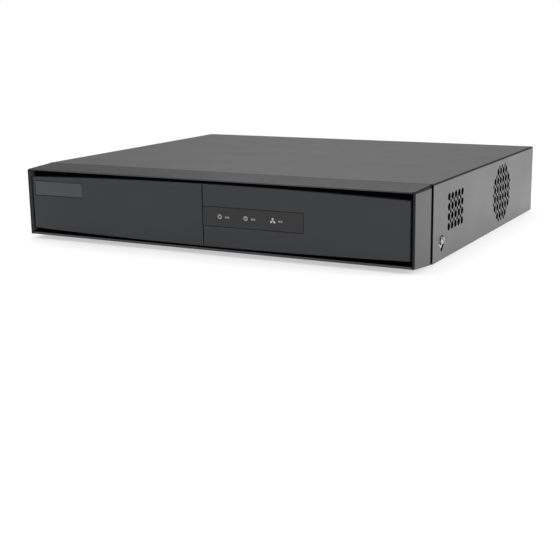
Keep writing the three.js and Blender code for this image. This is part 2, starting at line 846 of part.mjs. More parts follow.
// Circuit board, notched round the fan, with its fixed parts
function makeBoard() {
  const outline = [
    [boardLeft, boardFront], [notchLeft, boardFront], [notchLeft, notchRear],
    [boardRight, notchRear], [boardRight, boardRear], [boardLeft, boardRear],
  ];
  const board = prism('z', outline, [boardTop - boardThickness, boardTop]);
  const raised = (share, width, depth, height) => {
    const [x, y] = onBoard(share);
    return block(around(x, width), around(y, depth), [boardTop - bond, boardTop + height]);
  };
  const memory = memoryPlaceShares.map((share) => raised(share, memoryWidth, memoryDepth, memoryHeight));
  const coils = coilPlaceShares.map((share) => raised(share, coilWidth, coilWidth, coilHeight));
  const capacitorLevels = [boardTop - bond, boardTop + capacitorHeight];
  const capacitors = capacitorPlaceShares.map((share) => (
    rod('z', capacitorDiameter / 2, capacitorLevels, [...onBoard(share), 0], smallSides)
  ));
  const header = block(around(headerX, headerWidth), headerY, [boardTop - bond, boardTop + headerHeight]);
  addPart('mainboard', joined(board, memory, coils, capacitors, header), materials.boardGreen);
}

function makeProcessor() {
  const [x, y] = onBoard(processorPlaceShares);
  const chipBottom = boardTop + seat;
  const chipTop = chipBottom + processorHeight;
  const chip = block(around(x, processorWidth), around(y, processorWidth), [chipBottom, chipTop]);
  addPart('processor', chip, materials.chip);
  const baseBottom = chipTop + seat;
  const heatsinkDepth = heatsinkDepthShare * (boardClear - boardFront);
  const [baseX, baseY] = [around(x, heatsinkWidth), around(y, heatsinkDepth)];
  const base = block(baseX, baseY, [baseBottom, baseBottom + heatsinkBase]);
  const finPitch = (heatsinkWidth - finThickness) / (heatsinkFins - 1);
  const fins = Array.from({ length: heatsinkFins }, (_, i) => block(
    around(x - (heatsinkWidth - finThickness) / 2 + i * finPitch, finThickness),
    baseY, [baseBottom + heatsinkBase - bond, baseBottom + heatsinkHeight],
  ));
  addPart('heatsink', joined(base, fins), materials.aluminium);
  const battery = [...onBoard(batteryPlaceShares), 0];
  const cell = rod('z', batteryDiameter / 2, [boardTop + seat, boardTop + seat + batteryHeight], battery);
  addPart('clock_battery', cell, materials.nickel);
}

// Coax inputs: two moulded blocks behind the wall, and a metal barrel on the wall over each insulator
function makeInputBlock(name, firstColumn, screw) {
  const lastColumn = firstColumn + blockColumns - 1;
  const half = (inputPitch - inputBlockGap) / 2;
  const x = [inputColumn(lastColumn) - half, inputColumn(firstColumn) + half];
  const face = rearInside - seat;
  const top = inputRows[0] + jackFlange / 2 + inputBlockMargin;
  const body = block(x, [face - inputBlockDepth, face], [boardTop + seat, top]);
  const tip = rearFace + insulatorLength;
  const profile = [
    [0, face - bond], [insulatorFoot / 2, face - bond], [insulatorFoot / 2, rearFace + insulatorFootLength],
    [insulatorDiameter / 2, rearFace + insulatorFootLength], [insulatorDiameter / 2, tip],
    [contactHole / 2, tip], [contactHole / 2, tip - contactDepth], [0, tip - contactDepth],
  ];
  const insulators = [];
  for (let column = firstColumn; column <= lastColumn; column += 1) {
    for (const z of inputRows) insulators.push(turned('y', profile, [inputColumn(column), 0, z], tinySides));
  }
  const screwPocket = rod(
    'y', smallScrewThread / 2 + slip, [face - shankReach, face + overrun],
    [rearPlace(screw), 0, inputMiddle], smallSides,
  );
  addPart(name, joined(cut(body, screwPocket), insulators), materials.chassisPlastic);
}

function makeInputJack(number, x, z) {
  const base = rearFace + seat;
  const shoulder = base + jackFlangeThickness;
  const mouth = rearFace + jackLength;
  const profile = [
    [jackBore / 2, base], [jackFlange / 2, base], [jackFlange / 2, shoulder - jackFlangeBevel],
    [jackFlange / 2 - jackFlangeBevel, shoulder], [jackBarrel / 2, shoulder],
    [jackBarrel / 2, mouth], [jackBore / 2, mouth], [jackBore / 2, base],
  ];
  const lugs = bothSides.map((side) => rod(
    'x', lugDiameter / 2, onSide(side, jackBore / 2 + bond, jackBarrel / 2 + lugHeight),
    [x, mouth - lugSetback, z], tinySides,
  ));
  const name = `bnc_jack_${String(number).padStart(2, '0')}`;
  addPart(name, joined(turned('y', profile, [x, 0, z], jackSides), lugs), materials.nickel);
}

function makeInputs() {
  makeInputBlock('bnc_block_left', 0, 'inputScrewA');
  makeInputBlock('bnc_block_right', blockColumns, 'inputScrewB');
  for (let column = 0; column < inputColumns; column += 1) {
    inputRows.forEach((z, row) => makeInputJack(2 * column + row + 1, inputColumn(column), z));
  }
}

function makeDigitalSocket() {
  const shell = prism('y', digitalOutline(0), [rearFace - digitalDepth, rearFace]);
  const hollow = prism('y', digitalOutline(-digitalWall), [rearFace - digitalHollow, rearFace + overrun]);
  const x = rearPlace('digitalVideo');
  const middle = boardTop + digitalRise + digitalHeight / 2;
  const tongue = block(
    around(x, digitalTongueWidth), [rearFace - digitalHollow - bond, rearFace - digitalWall],
    [middle, middle + digitalTongue],
  );
  const foot = block(
    around(x, digitalWidth - 2 * digitalCorner), [rearFace - digitalDepth, rearInside - slip],
    [boardTop + seat, boardTop + digitalRise + bond],
  );
  addPart('hdmi_jack', joined(cut(shell, hollow), tongue, foot), materials.nickel);
}

function makeAnalogSocket() {
  const x = rearPlace('analogVideo');
  const face = rearInside - seat;
  const body = block(
    around(x, analogFlangeWidth), [face - analogBodyDepth, face],
    [boardTop + seat, analogHeight + analogFlangeHeight / 2],
  );
  const lipDepths = [face - bond, rearFace + analogLip];
  const lip = prism('y', analogOutline(analogLipWidth, analogLipHeight), lipDepths);
  const tip = rearFace + analogReach;
  const shell = prism('y', analogOutline(analogShellWidth, analogShellHeight), [rearFace, tip]);
  const core = prism(
    'y', analogOutline(analogShellWidth - 2 * analogWall, analogShellHeight - 2 * analogWall),
    [tip - analogCoreDrop, tip + overrun],
  );
  const pins = [];
  for (let row = 0; row < pinRows; row += 1) {
    for (let i = 0; i < pinColumns; i += 1) {
      const shift = (i - (pinColumns - 1) / 2) * pinPitch + (row === 1 ? -pinPitch / 4 : pinPitch / 4);
      const z = analogHeight + ((pinRows - 1) / 2 - row) * pinRowPitch;
      const depths = [tip - analogCoreDrop - pinHoleDepth, tip];
      pins.push(rod('y', pinHole / 2, depths, [x + shift, 0, z], fewSides));
    }
  }
  const sockets = jackscrewPlaces.map((place) => rod(
    'y', jackscrewThread / 2 + slip, [face - shankReach - slip, face + overrun],
    [place, 0, analogHeight], smallSides,
  ));
  addPart('vga_jack', cut(joined(body, lip, shell), core, pins, sockets), materials.nickel);
  const names = ['vga_jackscrew_left', 'vga_jackscrew_right'];
  jackscrewPlaces.forEach((place, i) => {
    const centre = [place, 0, analogHeight];
    const [seatFace, end] = [rearFace + seat, rearFace + seat + jackscrewReach];
    const hexRadius = jackscrewWidth / 2 / Math.cos(Math.PI / tinySides);
    const nut = rod('y', hexRadius, [seatFace, end], centre, tinySides);
    const thread = rod('y', jackscrewThread / 2, [face - shankReach, seatFace + bond], centre, smallSides);
    const bore = rod('y', jackscrewBore / 2, [seatFace + bond, end + overrun], centre, smallSides);
    addPart(names[i], cut(joined(nut, thread), bore), materials.nickel);
  });
}

function makeAudio() {
  const x = rearPlace('audio');
  const face = rearInside - seat;
  const body = block(
    around(x, audioBlockWidth), [face - audioBlockDepth, face],
    [boardTop + seat, audioRows[0] + audioBlockWidth / 2],
  );
  const bores = audioRows.map((z) => (
    rod('y', audioSpigotRadius + slip, [face - audioSpigot, face + overrun], [x, 0, z], smallSides)
  ));
  addPart('audio_block', cut(body, bores), materials.chassisPlastic);
  const tip = rearFace + audioReach;
  const base = rearFace + seat;
  const floor = rearInside + seat;
  const root = rearInside - audioSpigot + slip;
  const shoulder = base + audioFlangeThickness;
  const profile = [
    [0, root], [audioSpigotRadius, root], [audioSpigotRadius, base], [audioFlange / 2, base],
    [audioFlange / 2, shoulder], [audioBarrel / 2, shoulder], [audioBarrel / 2, tip],
    [audioHole / 2, tip], [audioHole / 2, floor], [0, floor],
  ];
  const names = ['audio_in_jack', 'audio_out_jack'];
  const finishes = [materials.audioRed, materials.audioWhite];
  audioRows.forEach((z, i) => addPart(names[i], turned('y', profile, [x, 0, z], roundSides), finishes[i]));
}

function makeStack() {
  const x = rearPlace('network');
  const bottom = boardTop + seat;
  const body = block(around(x, stackWidth), [rearFace - stackDepth, rearFace], [bottom, stackTop]);
  const keyTop = networkHeight + keyHeight;
  const spare = stackTop - bottom - 2 * serialHeight - keyTop - latchHeight;
  const [lowWeb, middleWeb, highWeb] = stackWebShares.map((share) => share * spare);
  const serialFloors = [bottom + lowWeb, bottom + lowWeb + serialHeight + middleWeb];
  const networkFloor = serialFloors[1] + serialHeight + highWeb;
  const steps = [
    [networkWidth, 0, networkHeight], [keyWidth, networkHeight - bond, keyTop],
    [latchWidth, keyTop - bond, keyTop + latchHeight],
  ];
  const network = steps.map(([width, low, high]) => block(
    around(x, width), [rearFace - networkDepth, rearFace + overrun],
    [networkFloor + low, networkFloor + high],
  ));
  const serialBack = rearFace - serialDepth;
  const hollows = serialFloors.map((low) => block(
    around(x, serialWidth), [serialBack, rearFace + overrun], [low, low + serialHeight],
  ));
  const tongues = serialFloors.map((low) => {
    const tongueLow = low + (serialHeight - serialTongue) / 2 + serialTongueLift;
    return block(
      around(x, serialTongueWidth), [serialBack - bond, serialBack + serialTongueReach],
      [tongueLow, tongueLow + serialTongue],
    );
  });
  addPart('lan_usb_stack', joined(cut(body, network, hollows), tongues), materials.nickel);
}

function makePowerSocket() {
  const x = rearPlace('power');
  const bottom = boardTop + seat;
  const middle = bottom + powerHeight / 2 + slip;
  const heights = [bottom, bottom + powerHeight];
  const body = block(around(x, powerWidth), [rearFace - powerDepth, rearFace], heights);
  const hole = rod('y', powerHole / 2, [rearFace - powerHoleDepth, rearFace + overrun], [x, 0, middle]);
  const pinBack = rearFace - powerHoleDepth;
  const pin = rod('y', powerPin / 2, [pinBack - bond, pinBack + powerPinReach], [x, 0, middle], smallSides);
  addPart('power_jack', joined(cut(body, hole), pin), materials.chassisPlastic);
}

// A screw with a domed head and a cross recess, its head bearing on a face
function screw(axis, side, face, head, thread, reach, [a, b]) {
  const out = (distance) => side * (face + distance);
  const place = axis === 'x' ? [0, a, b] : [a, 0, b];
  const profile = [
    [0, out(-reach)], [thread / 2, out(-reach)], [thread / 2, out(0)], [head / 2, out(0)],
    [head / 2, out(headHeight / 2)], [head / 2 - headHeight / 2, out(headHeight)], [0, out(headHeight)],
  ];
  const body = turned(axis, side > 0 ? profile : profile.toReversed(), place, jackSides);
  const depths = [out(headHeight - slotDepth), out(headHeight + overrun)].sort((low, high) => low - high);
  const arms = [[head / 2, slotWidth], [slotWidth, head / 2]].map(([wide, tall]) => {
    const [u, z] = [around(a, wide), around(b, tall)];
    return axis === 'x' ? block(depths, u, z) : block(u, depths, z);
  });
  return cut(body, arms);
}

function makeScrews() {
  const wall = rearFace + seat;
  const cover = caseDepth + seat;
  const coverReach = cover - rearInside + shankReach;
  const seatFace = halfWidth - dimpleDepth + seat;
  const sideReach = seatFace - trayInside + shankReach;
  for (const side of bothSides) {
    const hand = side > 0 ? 'right' : 'left';
    const ear = [side * earPlace, earHeight];
    const rear = screw('y', 1, cover, coverScrewHead, coverScrewThread, coverReach, ear);
    addPart(`cover_screw_rear_${hand}`, rear, materials.blackScrew);
    const low = [sideScrewY, sideScrewZ];
    const flank = screw('x', side, seatFace, sideScrewHead, coverScrewThread, sideReach, low);
    addPart(`cover_screw_side_${hand}`, flank, materials.nickel);
  }
  const wallReach = wall - rearInside;
  const smallReach = wallReach + shankReach - slip;
  ['inputScrewA', 'inputScrewB'].forEach((share, i) => {
    const place = [rearPlace(share), inputMiddle];
    const body = screw('y', 1, wall, smallScrewHead, smallScrewThread, smallReach, place);
    addPart(`connector_screw_${i + 1}`, body, materials.nickel);
  });
  const panelReach = wallReach + shankReach;
  const audioPlace = [audioScrewPlace, audioMiddle];
  const third = screw('y', 1, wall, panelScrewHead, panelScrewThread, panelReach, audioPlace);
  addPart('connector_screw_3', third, materials.nickel);
  const groundPlace = [rearPlace('ground'), groundHeight];
  const ground = screw('y', 1, wall, groundScrewHead, groundScrewThread, panelReach, groundPlace);
  addPart('ground_screw', ground, materials.blackScrew);
}

// Fan behind the round outlet: a square frame, a bladed rotor and a bracket on the tray's floor
const fanCorners = bothSides.flatMap((a) => bothSides.map((b) => [
  fanY + a * (fanSize / 2 - fanHoleInset), middleHeight + b * (fanSize / 2 - fanHoleInset),
]));
const fanBoreRadius = fanSize / 2 - fanWall;

function makeFan() {
  const centre = [0, fanY, middleHeight];
  const square = [around(fanY, fanSize), around(middleHeight, fanSize)];
  const body = block([fanInner, fanOuter], ...square);
  const bore = rod('x', fanBoreRadius, [fanInner - overrun, fanOuter + overrun], centre, fineSides);
  const holes = fanCorners.map(([y, z]) => rod(
    'x', fanPeg + slip, [fanInner - overrun, fanOuter + overrun], [0, y, z], smallSides,
  ));
  const strutX = [fanOuter - fanStrut, fanOuter];
  const struts = [
    block(strutX, square[0], around(middleHeight, fanStrutWidth)),
    block(strutX, around(fanY, fanStrutWidth), square[1]),
  ];
  const motor = rod('x', fanMotor / 2, strutX, centre);
  const post = rod('x', fanPost / 2, [fanInner + fanStrut, fanOuter - bond], centre, smallSides);
  addPart('fan_frame', joined(cut(body, bore, holes), struts, motor, post), materials.chassisPlastic);
  makeRotor(centre);
  makeBracket();
}

function makeRotor(centre) {
  const back = fanOuter - fanStrut - 2 * slip;
  const front = fanInner + slip;
  const hubRadius = fanMotor / 2 + fanHubWall;
  const tipRadius = fanBoreRadius - fanTipGap;
  const hub = rod('x', hubRadius, [front, back], centre, roundSides);
  const blades = Array.from({ length: fanBlades }, (_, i) => {
    const length = tipRadius - hubRadius + fanHubWall;
    const blade = new THREE.BoxGeometry(bladeThickness, bladeChord, length);
    blade.rotateZ(radians(bladePitchAngle));
    blade.translate((front + back) / 2, 0, tipRadius - length / 2 - bladeThickness / 2);
    blade.rotateX((i / fanBlades) * 2 * Math.PI);
    blade.translate(0, centre[1], centre[2]);
    return solid(blade);
  });
  const socketX = [fanInner + fanStrut - slip, back + overrun];
  const socket = rod('x', fanPost / 2 + slip, socketX, centre, smallSides);
  addPart('fan_rotor', cut(joined(hub, blades), socket), materials.blackPlastic);
}

function makeBracket() {
  const plateX = [fanInner - seat - bracketSheet, fanInner - seat];
  const plate = block(plateX, around(fanY, fanSize), [trayFloor + seat, middleHeight + fanSize / 2]);
  const foot = block(
    [plateX[0] - bracketFoot, plateX[1]], around(fanY, fanSize),
    [trayFloor + seat, trayFloor + seat + bracketSheet],
  );
  const bore = rod('x', fanBoreRadius, widened(plateX, overrun), [0, fanY, middleHeight], fineSides);
  const pegX = [plateX[1] - bond, fanInner + fanPegReach];
  const pegs = fanCorners.map(([y, z]) => rod('x', fanPeg, pegX, [0, y, z], smallSides));
  addPart('fan_bracket', joined(cut(plate, bore), foot, pegs), materials.galvanised);
}

// Hard disk drive on the tray's pads
const driveBottom = trayFloor + padHeight;
const lidBottom = driveBottom + driveHeight - driveLidThickness;
const cavityFloor = driveBottom + driveFloor;
const spindle = [driveLeft + driveWidth / 2, driveFront + driveWidth / 2];
const platterRadius = driveWidth / 2 - driveWall - platterEdgeGap;
const pivotAside = driveWidth / 2 - pivotPocket - pivotWall;
const pivotAlong = Math.sqrt((platterRadius + pivotHousing + pivotGap) ** 2 - pivotAside ** 2);
const pivot = [spindle[0] + pivotAlong, spindle[1] - pivotAside];
const driveBoardY = [driveFront + driveBoardMargin, driveRear - driveBoardMargin];
const platterLevels = [cavityFloor + platterLift, cavityFloor + platterLift + platterThickness + platterGap];
const parkAngle = radians(armParkAngle);
const armTip = [pivot[0] + armReach * Math.cos(parkAngle), pivot[1] + armReach * Math.sin(parkAngle)];
const driveSocketY = around(driveRear - drivePlugPlaceShare * driveWidth, driveSocketWidth);

// A tapered outline from one place to another, drawn in X and Y
function tapered(from, to, fromWidth, toWidth) {
  const direction = new THREE.Vector2(to[0] - from[0], to[1] - from[1]).normalize();
  const [nx, ny] = [-direction.y / 2, direction.x / 2];
  return [
    [from[0] - nx * fromWidth, from[1] - ny * fromWidth], [to[0] - nx * toWidth, to[1] - ny * toWidth],
    [to[0] + nx * toWidth, to[1] + ny * toWidth], [from[0] + nx * fromWidth, from[1] + ny * fromWidth],
  ];
}

function makeDriveBase() {
  const body = block([driveLeft, driveRight], [driveFront, driveRear], [driveBottom, lidBottom - seat]);
  const up = [cavityFloor, lidBottom + overrun];
  const well = rod('z', driveWidth / 2 - driveWall, up, [...spindle, 0], fineSides);
  const pocket = rod('z', pivotPocket, up, [...pivot, 0], fineSides);
  const past = [
    armTip[0] + armTipWidth * Math.cos(parkAngle), armTip[1] + armTipWidth * Math.sin(parkAngle),
  ];
  const sweep = prism('z', tapered(pivot, past, armPocketWidth, armPocketWidth), up);
  const boardX = [driveRight - driveBoardLength - slip, driveRight - driveWall];
  const boardZ = [driveBottom - overrun, driveBottom + driveBoardRecess];
  const recess = block(boardX, widened(driveBoardY, slip), boardZ);
  const mouth = block(
    [driveRight - driveSocketDepth - slip, driveRight + overrun], widened(driveSocketY, slip),
    [driveBottom - overrun, driveBottom + driveSocketHeight + slip],
  );
  const spindleZ = [cavityFloor - bond, platterLevels[1] + hubRise];
  const spindlePost = rod('z', spindleRadius, spindleZ, [...spindle, 0], jackSides);
  const pivotZ = [cavityFloor - bond, lidBottom - slip];
  const pivotPost = rod('z', pivotRadius, pivotZ, [...pivot, 0], jackSides);
  const base = joined(cut(body, well, pocket, sweep, recess, mouth), spindlePost, pivotPost);
  addPart('hdd_base', base, materials.aluminium);
}

function makeDriveLid() {
  const top = lidBottom + driveLidThickness;
  const lid = block([driveLeft, driveRight], [driveFront, driveRear], [lidBottom, top - lidBoss]);
  const bossRadius = driveWidth / 2 - lidBossMargin;
  const boss = rod('z', bossRadius, [lidBottom + bond, top], [...spindle, 0], fineSides);
  const columns = [driveLeft + lidScrewInset, (driveLeft + driveRight) / 2, driveRight - lidScrewInset];
  const screws = columns.flatMap((x) => (
    [driveFront + lidScrewInset, driveRear - lidScrewInset].map((y) => (
      rod('z', lidScrew, [lidBottom + bond, top], [x, y, 0], smallSides)
    ))
  ));
  addPart('hdd_lid', joined(lid, boss, screws), materials.nickel);
}

function makePlatters() {
  const centre = [...spindle, 0];
  const hubTop = platterLevels[1] + platterThickness + hubRise;
  const discs = platterLevels.map((z) => (
    rod('z', platterRadius, [z, z + platterThickness], centre, fineSides)
  ));
  const hub = rod('z', hubRadius, [cavityFloor + slip, hubTop], centre, roundSides);
  const bore = rod('z', spindleRadius + slip, [cavityFloor - overrun, hubTop + overrun], centre, jackSides);
  addPart('hdd_platters', cut(joined(hub, discs), bore), materials.mirrorDisc);
}

function makeArm() {
  const [low, high] = platterLevels;
  const between = (below, above) => around((below + above) / 2, armThickness);
  const bladeLevels = [
    between(cavityFloor + slip, low), between(low + platterThickness, high),
    between(high + platterThickness, high + platterThickness + platterGap),
  ];
  const housingZ = [cavityFloor + slip, bladeLevels.at(-1)[1] + bond];
  const housing = rod('z', pivotHousing, housingZ, [...pivot, 0], jackSides);
  const blades = bladeLevels.map((z) => prism('z', tapered(pivot, armTip, armRootWidth, armTipWidth), z));
  const coil = [pivot];
  for (let i = 0; i <= tinySides; i += 1) {
    const angle = parkAngle + Math.PI + radians(coilHalfAngle) * ((2 * i) / tinySides - 1);
    coil.push([pivot[0] + coilReach * Math.cos(angle), pivot[1] + coilReach * Math.sin(angle)]);
  }
  const paddle = prism('z', coil, around(bladeLevels[1][0], coilThickness));
  const bore = rod('z', pivotRadius + slip, [cavityFloor - overrun, lidBottom], [...pivot, 0], jackSides);
  addPart('hdd_arm', cut(joined(housing, blades, paddle), bore), materials.aluminium);
}

function makeDriveBoard() {
  const top = driveBottom + driveBoardRecess - seat;
  const x = [driveRight - driveBoardLength, driveRight - driveWall - slip];
  const board = block(x, driveBoardY, [top - thinBoard, top]);
  const socket = block(
    [driveRight - driveSocketDepth, driveRight], driveSocketY,
    [top - thinBoard, driveBottom + driveSocketHeight],
  );
  addPart('hdd_board', joined(board, socket), materials.boardGreen);
}

// Data and power lead from the drive's socket to the board's header
function makeDriveCable() {
  const socketMiddle = (driveSocketY[0] + driveSocketY[1]) / 2;
  const plugX = [driveRight + slip, driveRight + slip + plugLength];
  const plugZ = [driveBottom + driveBoardRecess - seat - thinBoard, driveBottom + driveSocketHeight];
  const plug = block(plugX, around(socketMiddle, plugWidth), plugZ);
  const headerTop = boardTop + headerHeight + slip;
  const headerPlug = block(around(headerX, headerWidth), headerY, [headerTop, headerTop + headerPlugHeight]);
  const start = new THREE.Vector3(plugX[1] - bond, socketMiddle, (plugZ[0] + plugZ[1]) / 2);
  const end = new THREE.Vector3(headerX, (headerY[0] + headerY[1]) / 2, headerTop + headerPlugHeight - bond);
  const beside = start.clone().addScaledVector(axisX, cableLead);
  const above = end.clone().addScaledVector(axisZ, cableLead);
  const path = new THREE.CubicBezierCurve3(start, beside, above, end);
  const section = new THREE.Shape(Array.from({ length: smallSides }, (_, i) => new THREE.Vector2(
    (cableDiameter / 2) * Math.cos((2 * Math.PI * i) / smallSides),
    (cableDiameter / 2) * Math.sin((2 * Math.PI * i) / smallSides),
  )));
  const options = { steps: cableSteps, bevelEnabled: false, extrudePath: path };
  const lead = solid(new THREE.ExtrudeGeometry(section, options));
  addPart('drive_cable', joined(plug, headerPlug, lead), materials.cableRed);
}

makeBezel();
makePlates();
makeIndicatorBoard();
makeCover();
makeTray();
makeFeet();
makeBoard();
makeProcessor();
makeInputs();
makeDigitalSocket();
makeAnalogSocket();
makeAudio();
makeStack();
makePowerSocket();
makeScrews();
makeFan();
makeDriveBase();
makeDriveLid();
makePlatters();
makeArm();
makeDriveBoard();
makeDriveCable();

// The recorder's whole depth runs from the front rim to the ends of the coax inputs
const wholeDepth = rearFace + jackLength;
recorder.position.y = -wholeDepth / 2;

export default recorder;
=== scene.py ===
"""Looks for a compact sixteen-channel video recorder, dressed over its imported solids.

Sizes are in millimetres in the part's own frame. They become metres where a mesh is made.
A profile is a row of (radius, distance along the axis) pairs, and an outline a row of (x, z) pairs.
"""
from math import cos, hypot, pi, radians, sin, tan

import bmesh
import bpy
from mathutils import Matrix, Vector

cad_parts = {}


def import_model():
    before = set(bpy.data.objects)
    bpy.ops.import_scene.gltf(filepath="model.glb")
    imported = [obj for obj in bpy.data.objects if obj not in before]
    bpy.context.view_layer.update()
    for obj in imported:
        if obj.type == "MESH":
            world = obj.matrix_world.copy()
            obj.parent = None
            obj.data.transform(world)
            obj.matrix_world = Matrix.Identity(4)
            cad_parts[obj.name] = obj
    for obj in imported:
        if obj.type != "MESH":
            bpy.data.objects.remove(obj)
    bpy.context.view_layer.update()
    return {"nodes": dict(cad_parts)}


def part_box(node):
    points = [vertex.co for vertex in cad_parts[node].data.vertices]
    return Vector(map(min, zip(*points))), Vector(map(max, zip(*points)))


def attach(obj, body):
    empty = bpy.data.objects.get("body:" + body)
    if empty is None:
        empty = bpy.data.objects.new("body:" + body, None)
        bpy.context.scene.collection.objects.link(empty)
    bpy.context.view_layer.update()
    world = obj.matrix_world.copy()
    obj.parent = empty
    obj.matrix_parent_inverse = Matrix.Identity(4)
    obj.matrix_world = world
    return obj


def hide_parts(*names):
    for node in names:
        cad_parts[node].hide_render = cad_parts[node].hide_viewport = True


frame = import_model()

MM = 0.001
# Sides of a round form, from the finest to the plainest
FINE, ROUND, SMALL, TINY = 48, 32, 20, 12
ARC_STEPS = 16
PAST = 1
PRINT = 0.04
NEAR = 0.1
SMOOTH_ANGLE = radians(32)


def span(node):
    """Lowest and highest corner of a node, in millimetres."""
    low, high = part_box(node)
    return low / MM, high / MM


def middle(node):
    low, high = span(node)
    return (low + high) / 2


# Faces of the solids that the pieces are set against
COVER_LOW, COVER_HIGH = span("top_cover")
TRAY_HIGH = span("chassis_tray")[1]
FRONT = span("front_bezel")[0].y
REAR = TRAY_HIGH.y
BOTTOM = COVER_LOW.z
TOP = COVER_HIGH.z
RIGHT = COVER_HIGH.x
SHEET = 1
WALL_INSIDE = REAR - SHEET - PRINT


# Materials

NOISE_LOW, NOISE_HIGH = 0.3, 0.7
WEAR = 0.08
GRAIN_DEPTH = 0.05


def linear(level):
    """One sRGB level from 0 to 255 as linear light."""
    share = level / 255
    return share / 12.92 if share <= 0.04045 else ((share + 0.055) / 1.055) ** 2.4


def set_inputs(node, values):
    """Sets a node's inputs, by name or number, from plain values or other nodes' outputs."""
    for key, value in values.items():
        socket = node.inputs[key]
        if isinstance(value, bpy.types.NodeSocket):
            node.id_data.links.new(value, socket)
        else:
            socket.default_value = value


def add_node(tree, kind, values=None, **settings):
    """A shader node. Its settings come first, because some of them change its inputs."""
    made = tree.nodes.new("ShaderNode" + kind)
    for name, value in settings.items():
        setattr(made, name, value)
    set_inputs(made, values or {})
    return made


def noise(tree, scale, stretch, detail):
    """A noise value, drawn out along an axis by a small stretch."""
    place = add_node(tree, "TexCoord")
    mapping = add_node(tree, "Mapping", {"Vector": place.outputs["Object"], "Scale": stretch})
    settings = {"Vector": mapping.outputs["Vector"], "Scale": scale, "Detail": detail}
    return add_node(tree, "TexNoise", settings).outputs["Fac"]


def ranged(tree, value, low, high):
    spread = {"Value": value, "From Min": NOISE_LOW, "From Max": NOISE_HIGH, "To Min": low, "To Max": high}
    return add_node(tree, "MapRange", spread).outputs["Result"]


def new_finish(name):
    made = bpy.data.materials.new(name)
    made.use_nodes = True
    return made, made.node_tree, made.node_tree.nodes["Principled BSDF"]


def material(name, colour, roughness, metallic=0, mottle=0.05, spots=60, grain=0.0, grit=2500,
             stretch=(1, 1, 1), gloss=0.5, coat=0.0):
    """A procedural finish, mottled and grained, with the scales of its spots and grit."""
    made, tree, shader = new_finish(name)
    tone = [linear(level) for level in colour]
    mottled = noise(tree, spots, stretch, 3)
    mix = add_node(tree, "Mix", {
        "A": (*[level * (1 - mottle) for level in tone], 1),
        "B": (*[min(1, level * (1 + mottle)) for level in tone], 1),
        "Factor": ranged(tree, mottled, 0, 1),
    }, data_type="RGBA")
    wear = noise(tree, spots / 2, stretch, 4)
    set_inputs(shader, {
        "Base Color": mix.outputs["Result"],
        "Roughness": ranged(tree, wear, roughness * (1 - WEAR), roughness * (1 + WEAR)),
        "Metallic": metallic,
        "Specular IOR Level": gloss,
        "Coat Weight": coat,
    })
    if grain:
        height = noise(tree, grit, stretch, 2)
        bump = add_node(tree, "Bump", {"Strength": grain, "Distance": GRAIN_DEPTH * MM, "Height": height})
        set_inputs(shader, {"Normal": bump.outputs["Normal"]})
    return made


PAINT = material("painted_steel", (54, 54, 56), 0.34, mottle=0.03, grain=0.35, grit=1800, gloss=0.6)
BEZEL = material("bezel_plastic", (46, 46, 48), 0.3, mottle=0.03, grain=0.25, grit=2200)
# A darker copy of the bezel plastic and paint: painted shade on rims, chamfers and the cover's long top bends
EDGE_SHADE = material("painted_edge_shade", (30, 31, 32), 0.5, mottle=0.03, grain=0.3, grit=2200, gloss=0.12)
# A paler copy of the bezel plastic: painted light on the pocket's side walls, which sit in shade
INNER_WALL_LIGHT = material("bezel_inner_painted_light", (62, 63, 65), 0.5, mottle=0.03, grain=0.3, grit=2200, gloss=0.4)
PANEL = material("panel_plastic", (46, 47, 49), 0.5, mottle=0.03, grain=0.25, grit=2600, gloss=0.3)
BADGE = material("badge_inlay", (62, 64, 67), 0.48, mottle=0.02, grain=0.1, gloss=0.35)
WINDOW = material("window_inlay", (38, 38, 38), 0.48, mottle=0.02, grain=0.1, gloss=0.35)
# Painted shade: black on the faces of hollows, holes, grooves and gaps, where shade falls
SHADE_BLACK = material("painted_shade_black", (5, 5, 5), 0.9, mottle=0.1, gloss=0.05)
MARK = material("front_mark", (180, 180, 178), 0.5, mottle=0.02)
LAMP = material("front_lamp", (128, 129, 127), 0.4, mottle=0.04)
ZINC = material("zinc_sheet", (196, 204, 200), 0.42, 0.8, spots=1400, grain=0.3, grit=2600,
                stretch=(0.4, 1, 1))
NICKEL = material("nickel_plate", (208, 203, 196), 0.16, 1, mottle=0.04, spots=200)
SCREW = material("screw_steel", (190, 188, 182), 0.3, 1, mottle=0.06, spots=400)
STEEL = material("tinned_steel", (186, 184, 178), 0.34, 1, spots=300, grain=0.1)
INSULATOR = material("insulator", (214, 210, 200), 0.45, mottle=0.04, spots=300)
BLACK = material("black_plastic", (24, 25, 26), 0.45, mottle=0.08, spots=200, grain=0.2)
# Black inside sockets and holes: partly the sockets' own black plastic, partly painted shade
SOCKET_BLACK_AND_SHADE = material("socket_black_and_painted_shade", (8, 8, 9), 0.6, mottle=0.1, gloss=0.3)
FAN = material("fan_plastic", (30, 30, 31), 0.5, mottle=0.06, grain=0.15)
RED = material("red_insert", (150, 18, 48), 0.4)
WHITE = material("white_insert", (228, 227, 222), 0.4, mottle=0.02)
RUBBER = material("foot_rubber", (20, 20, 20), 0.8, mottle=0.15, grain=0.4)
BOARD = material("board_laminate", (18, 84, 48), 0.35, mottle=0.2, spots=250, coat=0.3)
CHIP = material("chip_resin", (28, 29, 30), 0.5, mottle=0.06, grain=0.2)
FIN = material("fin_aluminium", (176, 178, 180), 0.3, 1)
CAST = material("cast_aluminium", (150, 152, 154), 0.5, 1, mottle=0.08, grain=0.3, grit=1200)
LID = material("brushed_lid", (190, 190, 190), 0.28, 1, stretch=(0.05, 1, 1), spots=900)
DISC = material("polished_disc", (215, 217, 219), 0.06, 1, mottle=0.01)
